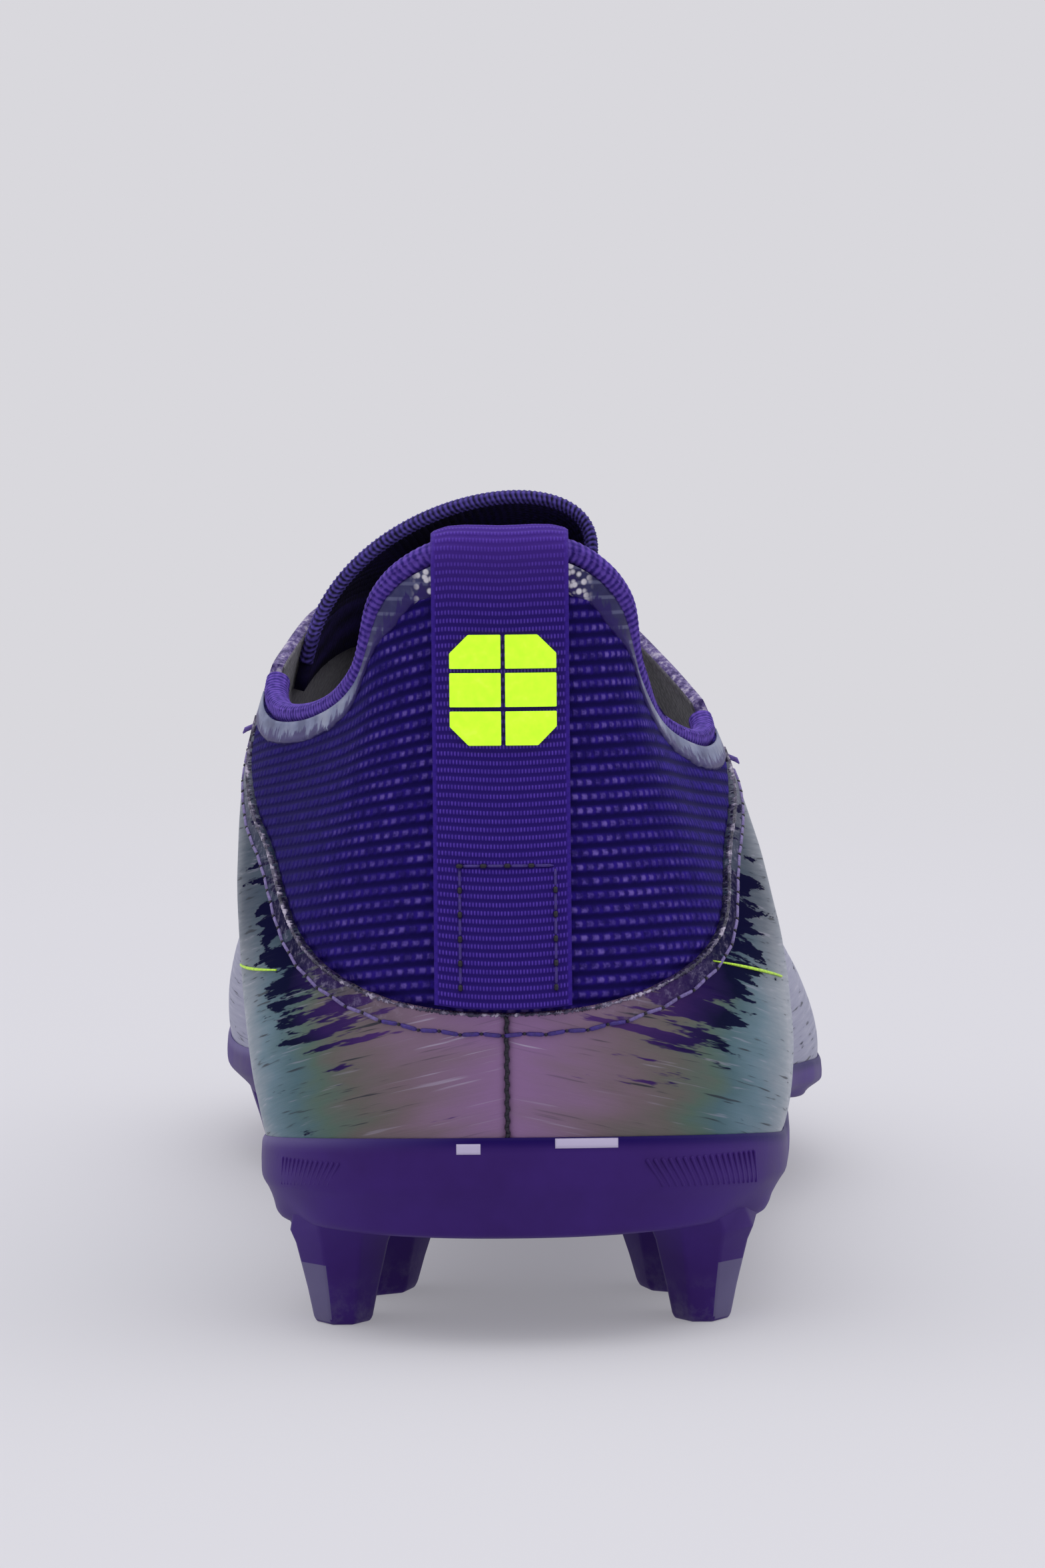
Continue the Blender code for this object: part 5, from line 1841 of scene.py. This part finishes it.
@dataclass
class Outsole:
    """Moulded plate with its cup-shaped rim and studs."""

    last: Last
    wall: float = 1.8 * MM
    plate: float = 3.2 * MM
    lip: float = 0.4 * MM
    bulge: float = 0.4 * MM
    inset: float = 4.5 * MM
    seat_gap: float = 0.5 * MM
    keel_depth: float = 1.2 * MM
    flare: float = 2.2 * MM
    rear_slide: float = 3.6 * MM
    rungs: int = 120
    across: int = 24

    def profile(self) -> Track:
        """The rim's outer profile from its lip to the plate's underside: offset, share of the height and lift."""
        rows = (
            (0.0, self.lip - 0.38 * MM, 1.0, 1.20 * MM),
            (0.4, self.lip - 0.10 * MM, 1.0, 1.25 * MM),
            (0.8, self.lip + 0.22 * MM, 1.0, 0.75 * MM),
            (1.3, self.lip + self.bulge * 0.85, 0.94, 0.1 * MM),
            (2.0, self.lip + self.bulge, 0.78, 0.0),
            (2.7, self.lip + 0.25 * MM, 0.56, 0.0),
            (3.2, self.lip - 0.35 * MM, 0.45, 0.0),
            (4.3, -2.0 * MM, 0.20, 0.0),
            (5.3, -3.7 * MM, 0.05, 0.0),
            (6.0, -self.inset, 0.0, 0.0),
        )
        return Track([row[0] for row in rows], [row[1:] for row in rows])

    def flank(self, loop: float, key: float) -> float:
        """How far the rim's lower part stands out over the root of a stud.

        Args:
            loop: Where round the sole.
            key: How far down the profile.

        Returns:
            The extra offset.
        """
        foot = self.last.feather(loop)
        most = 0.8 * (1.0 - smooth(foot.y, 10 * MM, 26 * MM))
        for stud in STUDS:
            x, y = stud.x * self.last.ball, stud.y * self.last.length
            if x * (foot.x - 0.03 * self.last.ball) > 0 and abs(foot.x - x) < 16 * MM:
                most = max(most, math.exp(-(((foot.y - y) / (9 * MM)) ** 2)))
        return self.flare * smooth(key, 3.1, 5.4) * most

    def rim_point(self, loop: float, key: float) -> Vector:
        """Point of the rim's outer face."""
        offset, share, lift = self.profile_track.at(key)
        foot = self.last.feather(loop)
        point = foot + self.last.outward(loop) * (offset + self.flank(loop, key))
        point.z = self.last.bottom(foot.y) * (1 - share) + (foot.z - self.seat_gap) * share + lift
        point.z += 0.7 * MM * smooth(key, 4.6, 6.0) * (1.0 - smooth(foot.y, 10 * MM, 26 * MM))
        return point

    def ring(self, offset: float, height: Callable[[Vector], float]) -> list[Vector]:
        """Points round the sole, this far outside the feather line."""
        made = []
        for j in range(2 * self.rungs + 1):
            loop = -1.0 + j / self.rungs
            foot = self.last.feather(loop)
            point = foot + self.last.outward(loop) * offset
            made.append(Vector((point.x, point.y, height(foot))))
        return made

    def build(self) -> Piece:
        """Cup, plate and underside in one mesh."""
        last = self.last
        self.profile_track = self.profile()
        rings = [
            self.ring(-self.wall, lambda foot: last.bottom(foot.y) + self.plate),
            self.ring(-self.wall, lambda foot: foot.z - self.seat_gap),
            self.ring(self.lip - 0.4 * MM, lambda foot: foot.z - self.seat_gap),
        ]
        lips = [0.0] * len(rings)
        steps = 32
        for i in range(steps + 1):
            key = 6.0 * i / steps
            rings.append([self.rim_point(-1.0 + j / self.rungs, key) for j in range(2 * self.rungs + 1)])
            lips.append(1.0 - smooth(key, 0.75, 1.3))
        piece = carried("plate_cup", rings)
        mark(piece, "lip", [value for value in lips for _ in rings[0]])
        bottom = self.fill("plate_underside", rings[-1], self.keel, True)
        inside = self.fill("plate_floor", rings[0], lambda y, share: 0.0, False)
        piece = join("moulded_outsole", [piece, bottom, inside])
        weld(piece)
        face_out(piece)
        bpy.ops.object.shade_smooth_by_angle(angle=math.radians(40))
        mesh = piece.data
        self.skin = BVHTree.FromPolygons(
            [vertex.co.copy() for vertex in mesh.vertices], [tuple(face.vertices) for face in mesh.polygons]
        )
        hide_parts("outsole")
        return hand_over(piece, "moulded_plate", PLATE)

    def rim_bar(self, name: str, span: tuple[float, float], keys: tuple[float, float]) -> Piece:
        """A plain pale bar moulded into the rim's upper edge at the back of the heel.

        Args:
            name: The piece's name.
            span: Where it starts and ends across the shoe.
            keys: Where it starts and ends down the rim's profile.

        Returns:
            The bar.
        """
        rows: list[list[Vector]] = []
        for key in np.linspace(keys[1], keys[0], 5):
            row = []
            for x in np.linspace(span[0], span[1], 25):
                loop = halved(-0.12, 0.12, 20, lambda at: self.rim_point(at, key).x < x)
                row.append(self.rim_point(loop, key) + Vector((0, -0.05 * MM, 0.02 * MM)))
            rows.append(row)
        piece = carried(name, rows)
        thicken(piece, 0.2 * MM)
        return hand_over(piece, "moulded_plate", PALE_PLATE)

    def keel(self, y: float, share: float) -> float:
        """The underside's shallow keel and its crosswise flex ribs."""
        along = y / self.last.length
        waist = math.exp(-(((along - 0.40) / 0.16) ** 2))
        drop = -self.keel_depth * waist * math.sin(math.pi * share) ** 2
        flex = smooth(along, 0.58, 0.63) * (1 - smooth(along, 0.84, 0.88)) * math.sin(math.pi * share) ** 0.5
        return drop - 0.45 * MM * flex * max(0.0, math.cos(2 * math.pi * along * 276 / 9.0)) ** 2

    def fill(self, name: str, ring: Sequence[Vector], shape: Callable[[float, float], float], down: bool) -> Piece:
        """Fills a ring with rungs from side to side.

        Args:
            name: The sheet's name.
            ring: The ring, from the toe round the inner side and the heel back to the toe.
            shape: Height change at a distance along the shoe and a share of a rung.
            down: Whether the sheet faces down.

        Returns:
            The sheet.
        """
        rows = []
        for i in range(self.rungs + 1):
            inner, outer = ring[self.rungs - i], ring[self.rungs + i]
            row = []
            for k in range(self.across + 1):
                share = k / self.across
                point = inner.lerp(outer, share)
                point.z += shape(point.y, share) if 0 < i < self.rungs else 0.0
                row.append(point)
            rows.append(row[::-1] if down else row)
        return carried(name, rows)

    def stud(self, stud: Stud) -> Piece:
        """One stud: an eight-sided outline, extruded ring by ring from its tip and bevelled."""
        last = self.last
        x, y = stud.x * last.ball, stud.y * last.length
        height = last.bottom(y)
        bpy.ops.object.select_all(action="DESELECT")
        bpy.ops.mesh.primitive_circle_add(vertices=8, radius=1.0, fill_type="NGON", location=(0, 0, 0))
        made = bpy.context.object
        made.name = made.data.name = "stud_" + stud.name
        for k, vertex in enumerate(made.data.vertices):
            angle = 2 * math.pi * (k + 0.5) / 8
            unit = Vector((math.cos(angle), math.sin(angle), 0))
            square = max(abs(unit.x), abs(unit.y)) ** -0.55
            tip = STUD_RINGS[-1]
            vertex.co = Vector(
                (unit.x * square * stud.half_x * tip.across, unit.y * square * stud.half_y * tip.along, 0)
            )
        slide = -self.rear_slide if stud.name.startswith("heel_rear") else 0.0
        with editing(made):
            for before, ring in zip(STUD_RINGS[::-1], STUD_RINGS[-2::-1]):
                move = (0, slide * (ring.height**2 - before.height**2), (ring.height - before.height) * height)
                bpy.ops.mesh.extrude_region_move(TRANSFORM_OT_translate={"value": move})
                grow = (ring.across / before.across, ring.along / before.along, 1)
                bpy.ops.transform.resize(value=grow, center_override=(0, slide * ring.height**2, 0))
        face_out(made)
        bevel = made.modifiers.new("soft_edges", "BEVEL")
        bevel.width, bevel.segments, bevel.limit_method = 0.55 * MM, 3, "ANGLE"
        bevel.angle_limit = math.radians(14)
        bpy.ops.object.modifier_apply(modifier=bevel.name)
        turn = Matrix.Rotation(math.radians(stud.yaw), 4, "Z")
        made.data.transform(Matrix.Translation(Vector((x, y, 0)) + SEAT) @ turn)
        self.tuck(made, height + 0.6 * MM)
        activate(made)
        bpy.ops.object.shade_smooth_by_angle(angle=math.radians(38))
        # Low facets of the rear studs that face out and back get the paler finish: painted light on that side.
        if stud.name.startswith("heel_rear"):
            corner = Vector((math.copysign(0.76, x), -0.65, 0.0))
            for face in made.data.polygons:
                low = face.center.z < 0.63 * height and face.normal.dot(corner) > 0.86
                face.material_index = 1 if low else 0
        return hand_over(made, "moulded_plate", PLATE, LIT_FACET_PLATE)

    def tuck(self, piece: Piece, floor: float) -> None:
        """Pulls a stud's root inside the plate's skin.

        Args:
            piece: The stud, in place.
            floor: The height above which its points have to lie inside.
        """
        for vertex in piece.data.vertices:
            if vertex.co.z > floor:
                near, normal, _, _ = self.skin.find_nearest(vertex.co)
                if (vertex.co - near).dot(normal) > -0.2 * MM:
                    vertex.co = near - normal * 0.2 * MM

    def corner_ribs(self, name: str, loops: Sequence[float], tall: float, stand: float) -> Piece:
        """Slanting ribs moulded on the rim at a heel corner, one blade copied along it.

        Args:
            name: The piece's name.
            loops: Where they stand.
            tall: Their height.
            stand: How far they stand out of the rim.

        Returns:
            The ribs.
        """
        last = self.last
        seats = []
        pattern = box((0, 0, 0), (0.46 * MM, 0.5 * MM, tall))
        with editing(pattern):
            bpy.ops.mesh.bevel(offset=0.18 * MM, segments=3, affect="EDGES")
        pattern.data.shade_smooth()
        for k, loop in enumerate(loops):
            out = last.outward(loop)
            high, low = self.rim_point(loop, 1.75), self.rim_point(loop, 2.85)
            middle = self.rim_point(loop, 2.2) + out * (stand - 0.25 * MM)
            along = Vector((-out.y, out.x, 0))
            angle = 36 - 20 * k / len(loops)
            lean = Matrix.Rotation(math.radians(angle if loop > 0 else -angle), 4, out)
            tilt = Matrix.Rotation(math.atan2((high - low).dot(out), high.z - low.z), 4, along)
            turn = Matrix((along, out, Vector((0, 0, 1)))).transposed().to_4x4()
            seats.append(Matrix.Translation(middle + SEAT) @ tilt @ lean @ turn)
        return hand_over(copied(name, pattern, seats), "moulded_plate", PLATE)


@dataclass
class Studio:
    """Paper floor that sweeps up behind, soft lights, and the camera at the photograph's place."""

    def floor(self) -> None:
        """The sweep of paper."""
        rows = []
        for i in range(41):
            share = i / 40
            if share < 0.5:
                y, z = -3.0 + share * 2 * 4.2, 0.0
            else:
                a = (share - 0.5) * 2 * math.pi / 2
                y, z = 1.2 + 2.2 * math.sin(a), 2.2 * (1 - math.cos(a))
            rows.append([Vector((x, y, z)) - SEAT for x in np.linspace(-4, 4, 17)])
        piece = carried("paper_sweep", rows)
        piece.data.materials.append(StudioPaper().material())

    def light(self, name: str, place: tuple[float, float, float], size: float, power: float) -> None:
        """One soft area light that points at the shoe.

        Args:
            name: Its name.
            place: Where it stands.
            size: Its side.
            power: Its power in watts.
        """
        data = bpy.data.lights.new(name, "AREA")
        data.shape, data.size, data.energy = "SQUARE", size, power
        made = bpy.data.objects.new(name, data)
        made.location = place
        made.rotation_euler = (Vector((0, 0, 0.05)) - Vector(place)).to_track_quat("-Z", "Y").to_euler()
        bpy.context.scene.collection.objects.link(made)

    def camera(self) -> None:
        """The camera, rolled as the photograph's is."""
        data = bpy.data.cameras.new("photo_camera")
        data.sensor_width, data.sensor_fit = 36.0, "AUTO"
        data.lens = PHOTO_FOCUS / PHOTO_HEIGHT * 36.0
        data.clip_end = 20.0
        made = bpy.data.objects.new("photo_camera", data)
        made.location = Vector((2.3 * MM, -0.9, 145 * MM)) + SEAT
        turn = Matrix.Rotation(math.radians(90 - 4.57), 4, "X") @ Matrix.Rotation(math.radians(-0.5), 4, "Z")
        made.rotation_euler = turn.to_euler()
        bpy.context.scene.collection.objects.link(made)
        bpy.context.scene.camera = made

    def build(self) -> None:
        """Sets the whole stage."""
        self.floor()
        self.camera()
        self.light("softbox_top", (0.0, -0.3, 2.2), 2.0, 8.0)
        world = bpy.data.worlds.new("studio_air")
        world.use_nodes = True
        add = partial(node, world.node_tree)
        # The studio is bright overhead and behind the shoe, and dim behind the camera.
        way = add(Kind.SPLIT, add(Kind.PLACE).node.outputs["Generated"]).node.outputs
        ahead = add(Kind.STEP, way[1], -0.9, 0.35, 0.42, 1.1)
        above = add(Kind.STEP, way[2], 0.15, 0.9, 0.0, 0.45)
        air = world.node_tree.nodes["Background"]
        feed(air.inputs[0], "F4F4F8")
        feed(air.inputs[1], add(Kind.ADD, ahead, above))
        bpy.context.scene.world = world
        bpy.context.scene.view_settings.view_transform = "Standard"


def main() -> None:
    """Builds the shoe's pieces in order, then the studio."""
    logging.basicConfig(level=logging.INFO, format="%(name)s: %(message)s")
    last = Last()
    upper = FilmUpper(last)
    upper.build()
    upper.cut_edge()
    upper.seam_stitches()
    upper.heel_seam()
    upper.pinstripe("trim_line_medial", -1, ((37, 47.5, 0.25), (48, 46.6, 0.42), (62, 45.8, 0.3)))
    upper.pinstripe("trim_line_lateral", 1, ((29, 48.9, 0.2), (38, 47.4, 0.42), (60, 43.9, 0.3)))
    panel = HeelPanel(last)
    panel.build()
    panel.film_strip()
    roll = CollarRoll(last)
    roll.build()
    strap = HeelStrap(last, roll)
    strap.build()
    strap.block()
    strap.box_stitches()
    tongue = Tongue(last)
    tongue.build()
    tongue.overlock()
    outsole = Outsole(last)
    outsole.build()
    for stud in STUDS:
        outsole.stud(stud)
    outsole.corner_ribs("rim_ribs_lateral", [0.083 + 0.0050 * k for k in range(18)], 4.6 * MM, 0.12 * MM)
    outsole.corner_ribs("rim_ribs_medial", [-0.108 - 0.0045 * k for k in range(13)], 4.0 * MM, 0.04 * MM)
    outsole.rim_bar("rim_bar_lateral", (6.1 * MM, 14.2 * MM), (0.55, 1.12))
    outsole.rim_bar("rim_bar_medial", (-6.6 * MM, -3.5 * MM), (0.9, 1.35))
    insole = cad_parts["insole"]
    insole.data.materials.clear()
    insole.data.materials.append(FOOTBED.material())
    Studio().build()


if __name__ == "__main__":
    main()
